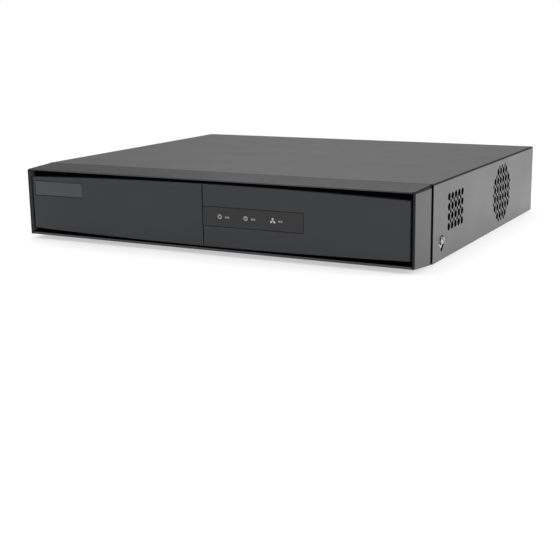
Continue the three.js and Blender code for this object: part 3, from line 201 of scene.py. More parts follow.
# Black oxide of the black screws, also painted shade in the cross recesses of the silver screws
BLACK_OXIDE_AND_SHADE = material("black_oxide_and_painted_shade", (22, 22, 23), 0.3, 0.6, mottle=0.15, spots=300)
GOLD = material("gold_contact", (220, 175, 90), 0.25, 1, mottle=0.03)
LEAD = material("lead_jacket", (150, 24, 24), 0.45)
INK = material("print_black", (22, 24, 24), 0.6, mottle=0.1)
PALE_INK = material("print_white", (226, 230, 228), 0.6, mottle=0.03)
LINE = material("print_line", (92, 108, 102), 0.6)


# Outlines and profiles

def arc(centre, radius, start, end, steps):
    angles = [radians(start + (end - start) * i / steps) for i in range(steps + 1)]
    return [(centre[0] + radius * cos(a), centre[1] + radius * sin(a)) for a in angles]


def rounded(low, high, radius, steps=3):
    """A rectangle with round corners."""
    (x0, z0), (x1, z1) = low, high
    corners = [(x1 - radius, z1 - radius, 0), (x0 + radius, z1 - radius, 90),
               (x0 + radius, z0 + radius, 180), (x1 - radius, z0 + radius, 270)]
    return [point for x, z, start in corners for point in arc((x, z), radius, start, start + 90, steps)]


def mirrored(right):
    """A whole outline from its right half."""
    return [*right, *[(-x, z) for x, z in reversed(right)]]


def rod(radius, length):
    return [(0, 0), (radius, 0), (radius, length), (0, length)]


def sleeve(base, mouth, length, inside=()):
    """A profile from its base, its mouth, which is measured back from the full length, and its inside."""
    return [*base, *[(radius, length - back) for radius, back in mouth], *inside]


# Mesh helpers

def smooth(mesh):
    """Shades a mesh smooth over gentle angles only."""
    mesh.shade_smooth()
    mesh.set_sharp_from_angle(angle=SMOOTH_ANGLE)


def add_object(name, data):
    made = bpy.data.objects.new(name, data)
    bpy.context.scene.collection.objects.link(made)
    return made


def finish_mesh(name, bm, *finishes):
    """A mesh object in metres from a mesh in millimetres."""
    bm.transform(Matrix.Scale(MM, 4))
    bmesh.ops.recalc_face_normals(bm, faces=bm.faces)
    mesh = bpy.data.meshes.new(name)
    bm.to_mesh(mesh)
    bm.free()
    for finish in finishes:
        mesh.materials.append(finish)
    smooth(mesh)
    return add_object(name, mesh)


def box(low, high):
    bm = bmesh.new()
    low, high = Vector(low), Vector(high)
    bmesh.ops.create_cube(bm, size=1, matrix=Matrix.LocRotScale((low + high) / 2, None, high - low))
    return bm


def box_about(x, half, depths, heights):
    """A box about a place along X, between two places along Y and two along Z."""
    return box((x - half, depths[0], heights[0]), (x + half, depths[1], heights[1]))


def box_from(place, half, reaches):
    """A box about a place, as wide to each side as half and with its reaches along Y and Z."""
    x, y, z = place
    (near, far), (under, over) = reaches
    return box_about(x, half, (y + near, y + far), (z + under, z + over))


def round_edges(bm, width, segments=3, pick=None):
    """Rounds all edges, or those for which pick(first corner, second corner) is true."""
    edges = [edge for edge in bm.edges if not pick or pick(*[vert.co for vert in edge.verts])]
    bmesh.ops.bevel(bm, geom=edges, offset=width, segments=segments, profile=0.5, affect="EDGES",
                    clamp_overlap=True)
    return bm


def before(y):
    """Picks the edges that lie wholly in front of a place along Y."""
    return lambda first, second: max(first.y, second.y) < y


def behind(y):
    return lambda first, second: min(first.y, second.y) > y


# Turns a form drawn along +Z so that it points along another axis
TOWARDS = {
    "+z": Matrix.Identity(4),
    "+y": Matrix.Rotation(-pi / 2, 4, "X"),
    "+x": Matrix.Rotation(pi / 2, 4, "Y"),
    "-x": Matrix.Rotation(-pi / 2, 4, "Y"),
}


def point_at(bm, place, towards):
    """Turns and moves a form drawn along +Z at the origin."""
    bm.transform(Matrix.Translation(place) @ TOWARDS[towards])
    return bm


def turn(profile, place, steps=ROUND, towards="+y"):
    """A solid of revolution. Its profile closes on itself or on the axis."""
    bm = bmesh.new()
    rings = []
    for radius, along in profile:
        angles = [2 * pi * i / steps for i in range(steps if radius else 1)]
        rings.append([bm.verts.new((radius * cos(a), radius * sin(a), along)) for a in angles])
    pairs = list(zip(rings, rings[1:]))
    if profile[0][0] and profile[-1][0]:
        pairs.append((rings[-1], rings[0]))
    for first, second in pairs:
        for i in range(steps):
            corners = [first[i % len(first)], first[(i + 1) % len(first)],
                       second[(i + 1) % len(second)], second[i % len(second)]]
            corners = list(dict.fromkeys(corners))
            if len(corners) > 2:
                bm.faces.new(corners)
    return point_at(bm, place, towards)


def deepen(bm, depth):
    """Gives flat faces a depth along Y."""
    grown = bmesh.ops.extrude_face_region(bm, geom=list(bm.faces))
    moved = [item for item in grown["geom"] if isinstance(item, bmesh.types.BMVert)]
    bmesh.ops.translate(bm, vec=(0, depth, 0), verts=moved)
    return bm


def plate(outline, near, far):
    """A solid from an outline, between two places along Y."""
    bm = bmesh.new()
    bm.faces.new([bm.verts.new((x, near, z)) for x, z in outline])
    return deepen(bm, far - near)


def absorb(target, *others):
    """Adds the faces of other meshes to one, as loose islands."""
    for other in others:
        spare = bpy.data.meshes.new("spare")
        other.to_mesh(spare)
        other.free()
        target.from_mesh(spare)
        bpy.data.meshes.remove(spare)
    return target


def evaluated(piece):
    graph = bpy.context.evaluated_depsgraph_get()
    return bpy.data.meshes.new_from_object(piece.evaluated_get(graph))


def carve(piece, *cuts):
    """Cuts solids out of a piece. A cut is a mesh and its finishes, which the cut faces take."""
    cutters = [finish_mesh("cutter", *cut) for cut in cuts]
    for cutter in cutters:
        step = piece.modifiers.new("cut", "BOOLEAN")
        step.operation = "DIFFERENCE"
        step.solver = "EXACT"
        step.material_mode = "TRANSFER"
        step.object = cutter
    old, new = piece.data, evaluated(piece)
    piece.modifiers.clear()
    piece.data = new
    new.name = old.name
    bpy.data.meshes.remove(old)
    smooth(new)
    for cutter in cutters:
        bpy.data.objects.remove(cutter)


def dress(piece, *nodes):
    """The piece stands for its nodes, if it has any, and rides on the case."""
    piece.modifiers.new("even", "WEIGHTED_NORMAL").keep_sharp = True
    if nodes:
        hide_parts(*nodes)
    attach(piece, "case")


def add_piece(name, bm, finish, *nodes, cuts=()):
    piece = finish_mesh(name, bm, finish)
    if cuts:
        carve(piece, *cuts)
    dress(piece, *nodes)


def add_body(name, low, high, width, *nodes):
    """A black socket block that ends behind the rear wall."""
    add_piece(name, round_edges(box(low, (high.x, WALL_INSIDE, high.z)), width), BLACK, *nodes)


# Top cover

COVER_BEND = 1.3
EDGE_SLOPE = 0.34
RETURN_SIDE = 4.6
RETURN_TOP = 4.1
RETURN_CORNER = 0.5
EAR_RADIUS = 4.8
EAR_INSET = 3.9
EAR_FLARE = 1.6
EAR_START, EAR_END = 235, 125
EAR_Z = middle("cover_screw_rear_right").z
VENT_HOLE = 2.15
VENT_PIN = 1.25
VENT_PITCH = 5.6
GRID_COLUMNS, GRID_ROWS = 5, 4
OUTLET_SPAN = 6
FAN_MIDDLE = middle("fan_frame")
GRID_Y = FAN_MIDDLE.y - 89.2
GRID_Z = FAN_MIDDLE.z + 3.2
SIDE_SCREW = middle("cover_screw_side_right")
DIMPLE_DEPTH = 0.5
DIMPLE_RADIUS = 2.9
DIMPLE_TAIL = ((-4.9, -1.8), (0, -6.9), (4.9, -1.8))
DIMPLE_FLOOR = (0.84, 1, 0.72)
WELL_RADIUS = 2.8
WELL_DEPTH = 0.85
SEAM_DEPTH = 0.85
SEAM_SIDE = 0.8
SEAM_TOP = 0.5


def is_sloped(face):
    """Whether a face looks upwards and to a side, as on a long top edge. Such faces take the painted edge
    shade.
    """
    return face.normal.z > EDGE_SLOPE and abs(face.normal.x) > EDGE_SLOPE


def outward(side):
    return "+x" if side > 0 else "-x"


def vent_places(columns, rows, rounded_off):
    """Places, radii and sides of a grid's holes, with small holes between each four."""
    kept = [(i, j) for i in range(columns) for j in range(rows)
            if not (rounded_off and i in (0, columns - 1) and j in (0, rows - 1))]
    places = [(i, j, VENT_HOLE, ROUND) for i, j in kept]
    for i in range(-1, columns):
        for j in range(-1, rows):
            near = sum((i + a, j + b) in kept for a in (0, 1) for b in (0, 1))
            if near >= (2 if rounded_off else 4):
                places.append((i + 0.5, j + 0.5, VENT_PIN, TINY))
    return [((i - (columns - 1) / 2) * VENT_PITCH, (j - (rows - 1) / 2) * VENT_PITCH, radius, steps)
            for i, j, radius, steps in places]


def vent_cutter(side, y, z, places):
    start = side * (RIGHT - SHEET - PAST)
    holes = [turn(rod(radius, SHEET + 2 * PAST), (start, y + dy, z + dz), steps, outward(side))
             for dy, dz, radius, steps in places]
    # The holes' walls take the painted black shade
    return absorb(*holes), SHADE_BLACK


def dimple_cutter(side):
    """The pressed hollow under a side screw, with walls in painted black shade and a bright bare steel floor.
    """
    outline = [*arc((0, 0), DIMPLE_RADIUS, 0, 180, ARC_STEPS), *DIMPLE_TAIL]
    bm = plate(outline, RIGHT - DIMPLE_DEPTH, RIGHT + PRINT)
    floor = [vert for vert in bm.verts if vert.co.y < RIGHT]
    bmesh.ops.scale(bm, vec=DIMPLE_FLOOR, verts=floor)
    # The side walls take the painted black shade, the floor bare screw steel
    for face in bm.faces:
        face.material_index = int(len(face.verts) != 4)
    swap = Matrix(((0, side, 0), (1, 0, 0), (0, 0, 1))).to_4x4()
    bm.transform(swap @ Matrix.Translation((SIDE_SCREW.y, 0, SIDE_SCREW.z)))
    return bm, SHADE_BLACK, SCREW


def well_cutter(side):
    """A groove round a side screw's head, in painted black shade."""
    place = (side * (RIGHT - WELL_DEPTH), SIDE_SCREW.y, SIDE_SCREW.z)
    return turn(rod(WELL_RADIUS, WELL_DEPTH + PAST), place, ROUND, outward(side)), SHADE_BLACK


def seam_cutters():
    """A groove round the cover's front edge, where it meets the bezel, in painted black shade."""
    start = COVER_LOW.y - PAST
    outer = RIGHT + PAST
    inner = RIGHT - SEAM_DEPTH
    floor = TOP - SEAM_DEPTH
    side_end = COVER_LOW.y + SEAM_SIDE
    boxes = [box_about(0, outer, (start, COVER_LOW.y + SEAM_TOP), (floor, TOP + PAST)),
             box((inner, start, BOTTOM - PAST), (outer, side_end, floor + PRINT)),
             box((-outer, start, BOTTOM - PAST), (-inner, side_end, floor + PRINT))]
    return [(bm, SHADE_BLACK) for bm in boxes]


def rear_cutter():
    """The opening in the cover's rear return, which leaves an ear on each side."""
    edge = RIGHT - RETURN_SIDE
    corner = (edge - RETURN_CORNER, TOP - RETURN_TOP - RETURN_CORNER)
    right = [
        (edge, BOTTOM - PAST),
        (edge, EAR_Z - EAR_RADIUS - EAR_FLARE),
        *arc((RIGHT - EAR_INSET, EAR_Z), EAR_RADIUS, EAR_START, EAR_END, ARC_STEPS),
        (edge, EAR_Z + EAR_RADIUS + EAR_FLARE),
        *arc(corner, RETURN_CORNER, 0, 90, 4),
    ]
    return plate(mirrored(right), COVER_HIGH.y - SHEET - PAST, COVER_HIGH.y + PAST), PAINT


def make_cover():
    def folded(first, second):
        upper = min(first.z, second.z) > TOP - SHEET - NEAR
        rear = min(first.y, second.y) > COVER_HIGH.y - SHEET - NEAR
        along_top = upper and abs(first.y - second.y) > PAST
        return along_top or (upper and rear) or (rear and abs(first.z - second.z) > PAST)

    outside = round_edges(box(COVER_LOW, COVER_HIGH), COVER_BEND, 5, folded)
    outside.normal_update()
    # The sloped faces of the long top bends take the painted edge shade
    for face in outside.faces:
        face.material_index = int(is_sloped(face))
    cover = finish_mesh("cover_shell", outside, PAINT, EDGE_SHADE)
    # The inside faces take the painted black shade
    inside = box_about(0, RIGHT - SHEET, (COVER_LOW.y - PAST, COVER_HIGH.y - SHEET),
                       (BOTTOM - PAST, TOP - SHEET))
    carve(cover, (round_edges(inside, COVER_BEND - SHEET, 3, folded), SHADE_BLACK))
    grid = vent_places(GRID_COLUMNS, GRID_ROWS, False)
    outlet = vent_places(OUTLET_SPAN, OUTLET_SPAN, True)
    carve(
        cover,
        rear_cutter(),
        vent_cutter(1, GRID_Y, GRID_Z, grid),
        vent_cutter(1, FAN_MIDDLE.y, FAN_MIDDLE.z, outlet),
        vent_cutter(-1, GRID_Y, GRID_Z, grid),
        vent_cutter(-1, FAN_MIDDLE.y, GRID_Z, grid),
        dimple_cutter(1),
        dimple_cutter(-1),
        well_cutter(1),
        well_cutter(-1),
        *seam_cutters(),
    )
    dress(cover, "top_cover")


# Front bezel and its plates

BEZEL_DEPTH = 22
BEZEL_TOP_DROP = 1.15
BEZEL_BOTTOM_RISE = 1.57
BEZEL_SIDE_TAPER = 1.4
BEZEL_WALL = 2
RIM_TOP = 0.8
RIM_SIDE = 1.3
RIM_BOTTOM = 1.35
RIM_ROUND = 0.15
RIM_EASE_SHARE = 0.3
RIM_SPLIT = 0.6
RECESS_DEPTH = 5
RECESS_CORNER = 0.8
TOP_CHAMFER_FRONT = 1.0
TOP_CHAMFER_REAR = 1.7
CHAMFER_ROUND = 0.8
LOW_EDGE_ROUND = 0.45
SHADOW_GAP = 2.4
SHADOW_GAP_DEPTH = 0.9
GAP_SKIN = 0.7
PLATE_ROUND = 0.45
PLATE_TOP_BOW = 2.25
PLATE_BOTTOM_BOW = 1.85
BOW_STEPS = 24
GROOVE = 0.25
GROOVE_CORNER = 0.4
INLAY_FLOOR = 1.1
INLAY_CORNER = 0.3
INLAY_ROUND = 0.12


def gap_cutter(side, rear):
    """The shadow gap along a side of the bezel's rear edge, its faces in painted black shade."""
    bm = box((RIGHT - SHADOW_GAP_DEPTH, rear - SHADOW_GAP, BOTTOM + GAP_SKIN),
             (RIGHT + PAST, rear + PAST, TOP - GAP_SKIN))
    bm.transform(Matrix.Diagonal((side, 1, 1, 1)))
    return bm, SHADE_BLACK


def bezel_section(share, inset, split):
    """The bezel's outline for a share of 1 at its front and 0 at its rear.

    It goes round from the underside's right split point, so its first half lies on the right.
    """
    half = RIGHT - BEZEL_SIDE_TAPER * share - inset
    low = BOTTOM + BEZEL_BOTTOM_RISE * share + inset
    high = TOP - BEZEL_TOP_DROP * share - inset
    chamfer = TOP_CHAMFER_REAR + (TOP_CHAMFER_FRONT - TOP_CHAMFER_REAR) * share
    setback = CHAMFER_ROUND * tan(pi / 8)
    return mirrored([
        (split, low),
        *arc((half - LOW_EDGE_ROUND, low + LOW_EDGE_ROUND), LOW_EDGE_ROUND, 270, 360, 4),
        *arc((half - CHAMFER_ROUND, high - chamfer - setback), CHAMFER_ROUND, 0, 45, 2),
        *arc((half - chamfer - setback, high - CHAMFER_ROUND), CHAMFER_ROUND, 45, 90, 2),
        (split, high),
    ])


def bezel_body(rear, split):
    """The bezel's outside, narrower at its front. Its chamfers, rounded rim and front rim strips take the
    painted edge shade.
    """
    bm = bmesh.new()
    rings = []
    eased = RIM_ROUND * RIM_EASE_SHARE
    for y, inset in ((FRONT, RIM_ROUND), (FRONT + eased, eased), (FRONT + RIM_ROUND, 0), (rear, 0)):
        section = bezel_section((rear - y) / (rear - FRONT), inset, split)
        rings.append([bm.verts.new((x, y, z)) for x, z in section])
    for first, second in zip(rings, rings[1:]):
        for i, corner in enumerate(first):
            after = (i + 1) % len(first)
            bm.faces.new((corner, first[after], second[after], second[i]))
    front = rings[0]
    half_count = len(front) // 2
    strips = [bm.faces.new(front[:half_count]), bm.faces.new(front[half_count:])]
    bm.faces.new((front[0], front[half_count - 1], front[half_count], front[-1]))
    bm.faces.new(rings[-1])
    bmesh.ops.recalc_face_normals(bm, faces=bm.faces)
    # Chamfers, the rounded rim and the rim strips take the painted edge shade
    for face in bm.faces:
        rim_in_edge_shade = face.normal.y < -EDGE_SLOPE and abs(face.calc_center_median().x) > split
        face.material_index = int(is_sloped(face) or rim_in_edge_shade or face in strips)
    return bm


def recess_cutter(outline, half):
    """The pocket in the bezel's front. Its side walls take a paler copy of the bezel plastic, painted light
    where they stand in shade, and its floor the painted black shade.
    """
    bm = plate(outline, FRONT - PAST, FRONT + RECESS_DEPTH)
    for face in bm.faces:
        face.material_index = int(abs(face.calc_center_median().x) > half - PRINT)
    return bm, SHADE_BLACK, INNER_WALL_LIGHT


def make_bezel():
    side = RIGHT - BEZEL_SIDE_TAPER
    low_z, high_z = BOTTOM + BEZEL_BOTTOM_RISE, TOP - BEZEL_TOP_DROP
    rear = COVER_LOW.y - PRINT / 2
    recess_x = side - RIM_SIDE
    shell = finish_mesh("bezel_shell", bezel_body(rear, recess_x - RIM_SPLIT), BEZEL, EDGE_SHADE)
    outline = rounded((-recess_x, low_z + RIM_BOTTOM), (recess_x, high_z - RIM_TOP), RECESS_CORNER, 5)
    hollow = box_about(0, side - BEZEL_WALL, (FRONT + RECESS_DEPTH + BEZEL_WALL, rear + PAST),
                       (low_z + BEZEL_WALL, high_z - BEZEL_WALL))
    seat = box_about(0, TRAY_HIGH.x + PRINT, (FRONT + BEZEL_DEPTH, rear + PAST),
                     (BOTTOM - PAST, TRAY_HIGH.z + PRINT))
    # The pocket's floor, the hollow and the seat take the painted black shade, the pocket's side walls the
    # painted light
    carve(
        shell,
        recess_cutter(outline, recess_x),
        (hollow, SHADE_BLACK),
        (seat, SHADE_BLACK),
        gap_cutter(-1, rear),
        gap_cutter(1, rear),
    )
    dress(shell, "front_bezel")


def bowed_outline(node):
    """The plate's outline, with its upper and lower edges bowed about the recorder's middle."""
    low, high = span(node)
    half = max(abs(low.x), abs(high.x))
    lows, highs = zip(span("front_panel_left"), span("front_panel_right"))
    base = min(corner.z for corner in lows)
    crown = max(corner.z for corner in highs)
    xs = [low.x + (high.x - low.x) * i / BOW_STEPS for i in range(BOW_STEPS + 1)]
    lower = [(x, base + PLATE_BOTTOM_BOW * (x / half) ** 2) for x in xs]
    upper = [(x, crown - PLATE_TOP_BOW * (x / half) ** 2) for x in reversed(xs)]
    return lower + upper


def groove_cutter(node):
    low, high = span(node)
    outline = rounded((low.x - GROOVE, low.z - GROOVE), (high.x + GROOVE, high.z + GROOVE), GROOVE_CORNER)
    # The groove round an inlay takes the painted black shade
    return plate(outline, low.y - PAST, low.y + INLAY_FLOOR), SHADE_BLACK


def make_plates():
    for node, inlay in (("front_panel_left", "badge_plate"), ("front_panel_right", "indicator_window")):
        low, high = span(node)
        bm = plate(bowed_outline(node), low.y, high.y)
        round_edges(bm, PLATE_ROUND, 3, before(low.y + PRINT))
        add_piece(node + "_shell", bm, PANEL, node, cuts=[groove_cutter(inlay)])
    for node, finish in (("badge_plate", BADGE), ("indicator_window", WINDOW)):
        low, high = span(node)
        bm = plate(rounded((low.x, low.z), (high.x, high.z), INLAY_CORNER), low.y, high.y)
        add_piece(node + "_inlay", round_edges(bm, INLAY_ROUND, 2, before(low.y + PRINT)), finish, node)


# Prints

BORDER_STEPS = 5
WELD = 0.001


class Print:
    """Flat marks on a wall that faces along Y, drawn about an origin in X and Z."""

    def __init__(self, y):
        self.bm = bmesh.new()
        self.y = y
        self.origin = (0, 0)

    def corners(self, points):
        left, base = self.origin
        return [self.bm.verts.new((left + x, self.y, base + z)) for x, z in points]

    def shape(self, outline):
        self.bm.faces.new(self.corners(outline))

    def bar(self, start, end, width):
        first, last = Vector(start), Vector(end)
        along = (last - first).normalized()
        across = Vector((-along.y, along.x)) * width / 2
        self.shape([first - across, last - across, last + across, first + across])

    def patch(self, place, width, height, radius, steps=3):
        """A rectangle with round corners about a place."""
        x, z = place
        self.shape(rounded((x - width / 2, z - height / 2), (x + width / 2, z + height / 2), radius, steps))

    def band(self, outer, inner, ends):
        """The surface between two outlines with as many points. Where it has ends, it doesn't close."""
        outer, inner = self.corners(outer), self.corners(inner)
        for i in range(len(outer) - ends):
            after = (i + 1) % len(outer)
            self.bm.faces.new((outer[i], outer[after], inner[after], inner[i]))

    def ring(self, radius, stroke, start=0, end=360, steps=28):
        outer, inner = [arc((0, 0), reach, start, end, steps) for reach in (radius, radius - stroke)]
        self.band(outer, inner, True)

    def border(self, low, high, radius, stroke):
        """The edge of a rectangle with round corners."""
        (x0, z0), (x1, z1) = low, high
        inner = rounded((x0 + stroke, z0 + stroke), (x1 - stroke, z1 - stroke), radius - stroke, BORDER_STEPS)
        self.band(rounded(low, high, radius, BORDER_STEPS), inner, False)

    def finish(self, name, depth, finish):
        """Gives the marks a thickness along Y and makes them a piece."""
        bmesh.ops.remove_doubles(self.bm, verts=self.bm.verts, dist=WELD)
        add_piece(name, deepen(self.bm, depth), finish)


# Marks on the indicator window: power, clock and network, each with two lamps

ICON_RADIUS = 1.25
ICON_STROKE = 0.32
ICON_LIFT = 0.2
ICON_PLACES = (10.0, 26.9, 44.2)
POWER_START, POWER_END = 118, 422
POWER_BAR = ((0, 0.2), (0, 1.5))
CLOCK_HANDS = (((0, -0.1), (0, 0.85)), ((0, 0), (0.6, 0)))
NETWORK_DOTS = ((0, 0.9), (-1.0, -0.75), (1.0, -0.75))
NETWORK_BARS = (((0, 0.5), (0, -0.1)), ((-1.0, -0.2), (1.0, -0.2)))
DOT_RADIUS = 0.62
LAMP_SHIFT = 4.85
LAMP_STEP = 1.5
LAMP_DROP = 0.2
LAMP_SIZE = 1.1
LAMP_CORNER = 0.2


def make_front_marks():
    low, high = span("indicator_window")
    z = (low.z + high.z) / 2 + ICON_LIFT
    power, clock, network = [(x, z) for x in ICON_PLACES]
    marks = Print(low.y)
    marks.origin = power
    marks.ring(ICON_RADIUS, ICON_STROKE, POWER_START, POWER_END)
    marks.bar(*POWER_BAR, ICON_STROKE)
    marks.origin = clock
    marks.ring(ICON_RADIUS, ICON_STROKE)
    for hand in CLOCK_HANDS:
        marks.bar(*hand, ICON_STROKE / 2)
    marks.origin = network
    for place in NETWORK_DOTS:
        marks.shape(arc(place, DOT_RADIUS, 0, 337.5, 15))
    for bar in NETWORK_BARS:
        marks.bar(*bar, ICON_STROKE)
    marks.finish("front_marks", -PRINT, MARK)
    lamps = Print(low.y)
    for x in ICON_PLACES:
        for step in (-LAMP_STEP / 2, LAMP_STEP / 2):
            lamps.patch((x + LAMP_SHIFT + step, z - LAMP_DROP), LAMP_SIZE, LAMP_SIZE, LAMP_CORNER)
    lamps.finish("front_lamps", -PRINT, LAMP)


# Screws

SIDE_HEAD = 4.4
HEAD_HEIGHT = 1.6
HEAD_EDGE = 0.1
DOME_SHARE = 0.55
DOME_STEP = 15
SHANK_SHARE = 0.24
CROSS_LENGTH_SHARE = 0.58
CROSS_WIDTH_SHARE = 0.16
CROSS_DEPTH_SHARE = 0.6
CROSS_TAPER_SHARE = 0.45
SCREWS = (
    ("cover_screw_rear_left", "+y", BLACK_OXIDE_AND_SHADE),
    ("cover_screw_side_left", "-x", SCREW),
    ("cover_screw_rear_right", "+y", BLACK_OXIDE_AND_SHADE),
    ("cover_screw_side_right", "+x", SCREW),
    ("connector_screw_1", "+y", NICKEL),
    ("connector_screw_2", "+y", NICKEL),
    ("connector_screw_3", "+y", NICKEL),
    ("ground_screw", "+y", BLACK_OXIDE_AND_SHADE),
)


def cross_cutters(place, towards, head):
    """A tapered cross to sink a driver's recess. Its faces take black oxide, which is painted shade in the
    silver screws.
    """
    length, width = head * CROSS_LENGTH_SHARE, head * CROSS_WIDTH_SHARE
    depth = HEAD_HEIGHT * CROSS_DEPTH_SHARE
    arms = []
    for wide, tall in ((length, width), (width, length)):
        bm = box((-wide / 2, -tall / 2, -depth), (wide / 2, tall / 2, PAST))
        for vert in bm.verts:
            if vert.co.z < 0:
                vert.co.xy *= CROSS_TAPER_SHARE
        arms.append((point_at(bm, place, towards), BLACK_OXIDE_AND_SHADE))
    return arms


def make_screw(node, towards, finish):
    """A pan head with a cross recess, over its plain shank."""
    low, high = span(node)
    centre = (low + high) / 2
    axis = "xyz".index(towards[1])
    head = high.x - low.x if axis else SIDE_HEAD
    root, tip = (low, high) if towards[0] == "+" else (high, low)
    length = abs(tip[axis] - root[axis])
    seat = length - HEAD_HEIGHT
    shank = head * SHANK_SHARE
    dome = []
    for a in [radians(DOME_STEP * i) for i in range(7)]:
        radius = head / 2 - HEAD_HEIGHT * DOME_SHARE * (1 - cos(a))
        dome.append((radius, seat + HEAD_HEIGHT * (1 - DOME_SHARE + DOME_SHARE * sin(a))))
    profile = [(0, 0), (shank, 0), (shank, seat), (head / 2 - HEAD_EDGE, seat), (head / 2, seat + HEAD_EDGE),
               *dome, (0, length)]
    centre[axis] = root[axis]
    body = turn(profile, centre, ROUND, towards)
    centre[axis] = tip[axis]
    add_piece(node + "_body", body, finish, node, cuts=cross_cutters(centre, towards, head))


# Feet

FOOT_EDGE = 0.5
FOOT_EASE = 0.15


def make_feet():
    for place in ("front_left", "front_right", "rear_left", "rear_right"):
        low, high = span("foot_" + place)
        centre = (low + high) / 2
        radius = (high.x - low.x) / 2
        profile = [(0, low.z), (radius - FOOT_EDGE, low.z), (radius - FOOT_EASE, low.z + FOOT_EASE),
                   (radius, low.z + FOOT_EDGE), (radius, high.z), (0, high.z)]
        foot = turn(profile, (centre.x, centre.y, 0), FINE, "+z")
        add_piece(f"foot_{place}_pad", foot, RUBBER, "foot_" + place)


# Coax inputs: metal barrels, and moulded blocks with a pale insulator in each barrel

INPUTS = 16
BLOCK_INPUTS = 8
BLOCK_ROUND = 0.5
FLANGE = 6.5
BARREL = 4.75
BORE = 4.1
BARREL_BASE = ((BORE, 0), (FLANGE - 0.15, 0), (FLANGE, 0.15), (FLANGE, 1.2), (FLANGE - 0.6, 1.8),
               (5.35, 1.9), (5.35, 3.9), (5.1, 4.15), (BARREL, 4.2))
BARREL_MOUTH = ((BARREL, 0.35), (BARREL - 0.3, 0), (BORE + 0.15, 0), (BORE, 0.2))
LUG = ((0, 0), (1.05, 0), (1.05, 0.75), (0.85, 0.95), (0, 0.95))
LUG_SINK = 0.05
LUG_SETBACK = 4
CORE = 3.7
CONTACT = 0.92
CORE_MOUTH = ((CORE, 3.4), (CORE - 0.25, 3.2), (2.55, 3.2), (2.55, 0.25), (2.3, 0), (CONTACT + 0.15, 0),
              (CONTACT, 0.2), (CONTACT, 4), (0, 4))


def make_inputs():
    low, high = span("bnc_jack_01")
    length = high.y - low.y
    shell = turn(sleeve(BARREL_BASE, BARREL_MOUTH, length), (0, 0, 0), FINE)
    lugs = [turn(LUG, (side * (BARREL - LUG_SINK), length - LUG_SETBACK, 0), SMALL, outward(side))
            for side in (1, -1)]
    model = finish_mesh("input_barrel_01", absorb(shell, *lugs), NICKEL)
    for number in range(1, INPUTS + 1):
        node = f"bnc_jack_{number:02d}"
        centre = middle(node)
        piece = model if number == 1 else add_object(f"input_barrel_{number:02d}", model.data)
        piece.location = Vector((centre.x, low.y, centre.z)) * MM
        dress(piece, node)


def make_input_blocks():
    for number, node in enumerate(("bnc_block_left", "bnc_block_right")):
        low, high = span(node)
        add_body(node + "_body", low, high, BLOCK_ROUND, node)
        profile = sleeve(((0, WALL_INSIDE), (CORE, WALL_INSIDE)), CORE_MOUTH, high.y)
        first = BLOCK_INPUTS * number + 1
        cores = []
        for jack in range(first, first + BLOCK_INPUTS):
            centre = middle(f"bnc_jack_{jack:02d}")
            core = turn(profile, (centre.x, 0, centre.z))
            # The contact hole in each insulator takes the painted black shade
            for facet in core.faces:
                place = facet.calc_center_median()
                inside = hypot(place.x - centre.x, place.z - centre.z) < CONTACT + PRINT
                facet.material_index = int(inside and place.y > REAR)
            cores.append(core)
        dress(finish_mesh(node + "_insulators", absorb(*cores), INSULATOR, SOCKET_BLACK_AND_SHADE))


# Digital video socket

TONGUE_HALF = 5.5
TONGUE_ROUND = 0.2
DIGITAL_HEIGHT = 5.6
DIGITAL_CORNER = 1.7
DIGITAL_INNER_CORNER = 1.6
DIGITAL_WALL = 0.4
DIGITAL_HOLLOW = 8
DIGITAL_TONGUE = ((-8.2, -0.8), (-2.9, -1.6))


def add_tongue(name, place, reaches):
    """The contact tongue of a flat socket."""
    add_piece(name, round_edges(box_from(place, TONGUE_HALF, reaches), TONGUE_ROUND), BLACK)


def socket_outline(node, grow, corner):
    """A flat-topped outline whose lower corners are cut off."""
    low, high = span(node)
    x0, x1 = low.x - grow, high.x + grow
    z0, z1 = high.z - DIGITAL_HEIGHT - grow, high.z + grow
    return [(x0 + corner, z0), (x1 - corner, z0), (x1, z0 + corner), (x1, z1), (x0, z1), (x0, z0 + corner)]


def make_digital_socket():
    node = "hdmi_jack"
    low, high = span(node)
    shell = plate(socket_outline(node, 0, DIGITAL_CORNER), low.y, high.y)
    inside = socket_outline(node, -DIGITAL_WALL, DIGITAL_INNER_CORNER)
    hollow = plate(inside, high.y - DIGITAL_HOLLOW, high.y + PAST)
    # The steel shell's hollow takes the painted black shade
    add_piece("digital_video_shell", shell, STEEL, node, cuts=[(hollow, SOCKET_BLACK_AND_SHADE)])
    add_tongue("digital_video_tongue", (middle(node).x, high.y, high.z), DIGITAL_TONGUE)


# Analog video socket with its two jackscrews

SHIELD_ROUND = 1.4
SHIELD_SLOPE = 1.3
SHIELD_TILT = 10
LIP_SIZE, LIP_DEPTH, LIP_ROUND = (18, 9.8), 0.8, 0.35
SHIELD_SIZE, SHIELD_EDGE = (16.6, 8.2), 0.2
HOLLOW_SIZE, HOLLOW_DEPTH = (15.6, 7.2), 5
ANALOG_CORE_SIZE, ANALOG_CORE_REACH = (15.3, 6.9), (5.1, 0.5)
ANALOG_ROUND = 0.4
PIN_ROWS, PIN_COLUMNS = 3, 5
PIN_PITCH, PIN_ROW_PITCH, PIN_SHIFT = 2.3, 2.0, 0.57
PIN_RADIUS, PIN_DEPTH, PIN_START, PIN_SIDES = 0.55, 4, 3.6, 14
NUT_FLATS = 4.8
NUT_LIFT = 0.05
NUT_BORE = ((0, 0), (1.2, 0), (1.2, 4.6), (1.5, 5), (1.5, 6), (0, 6))
NUT_BORE_DEPTH = 4.8
NUT_CHAMFER = ((-0.5, 0), (1, -1.1), (1, 1), (-0.5, 1))


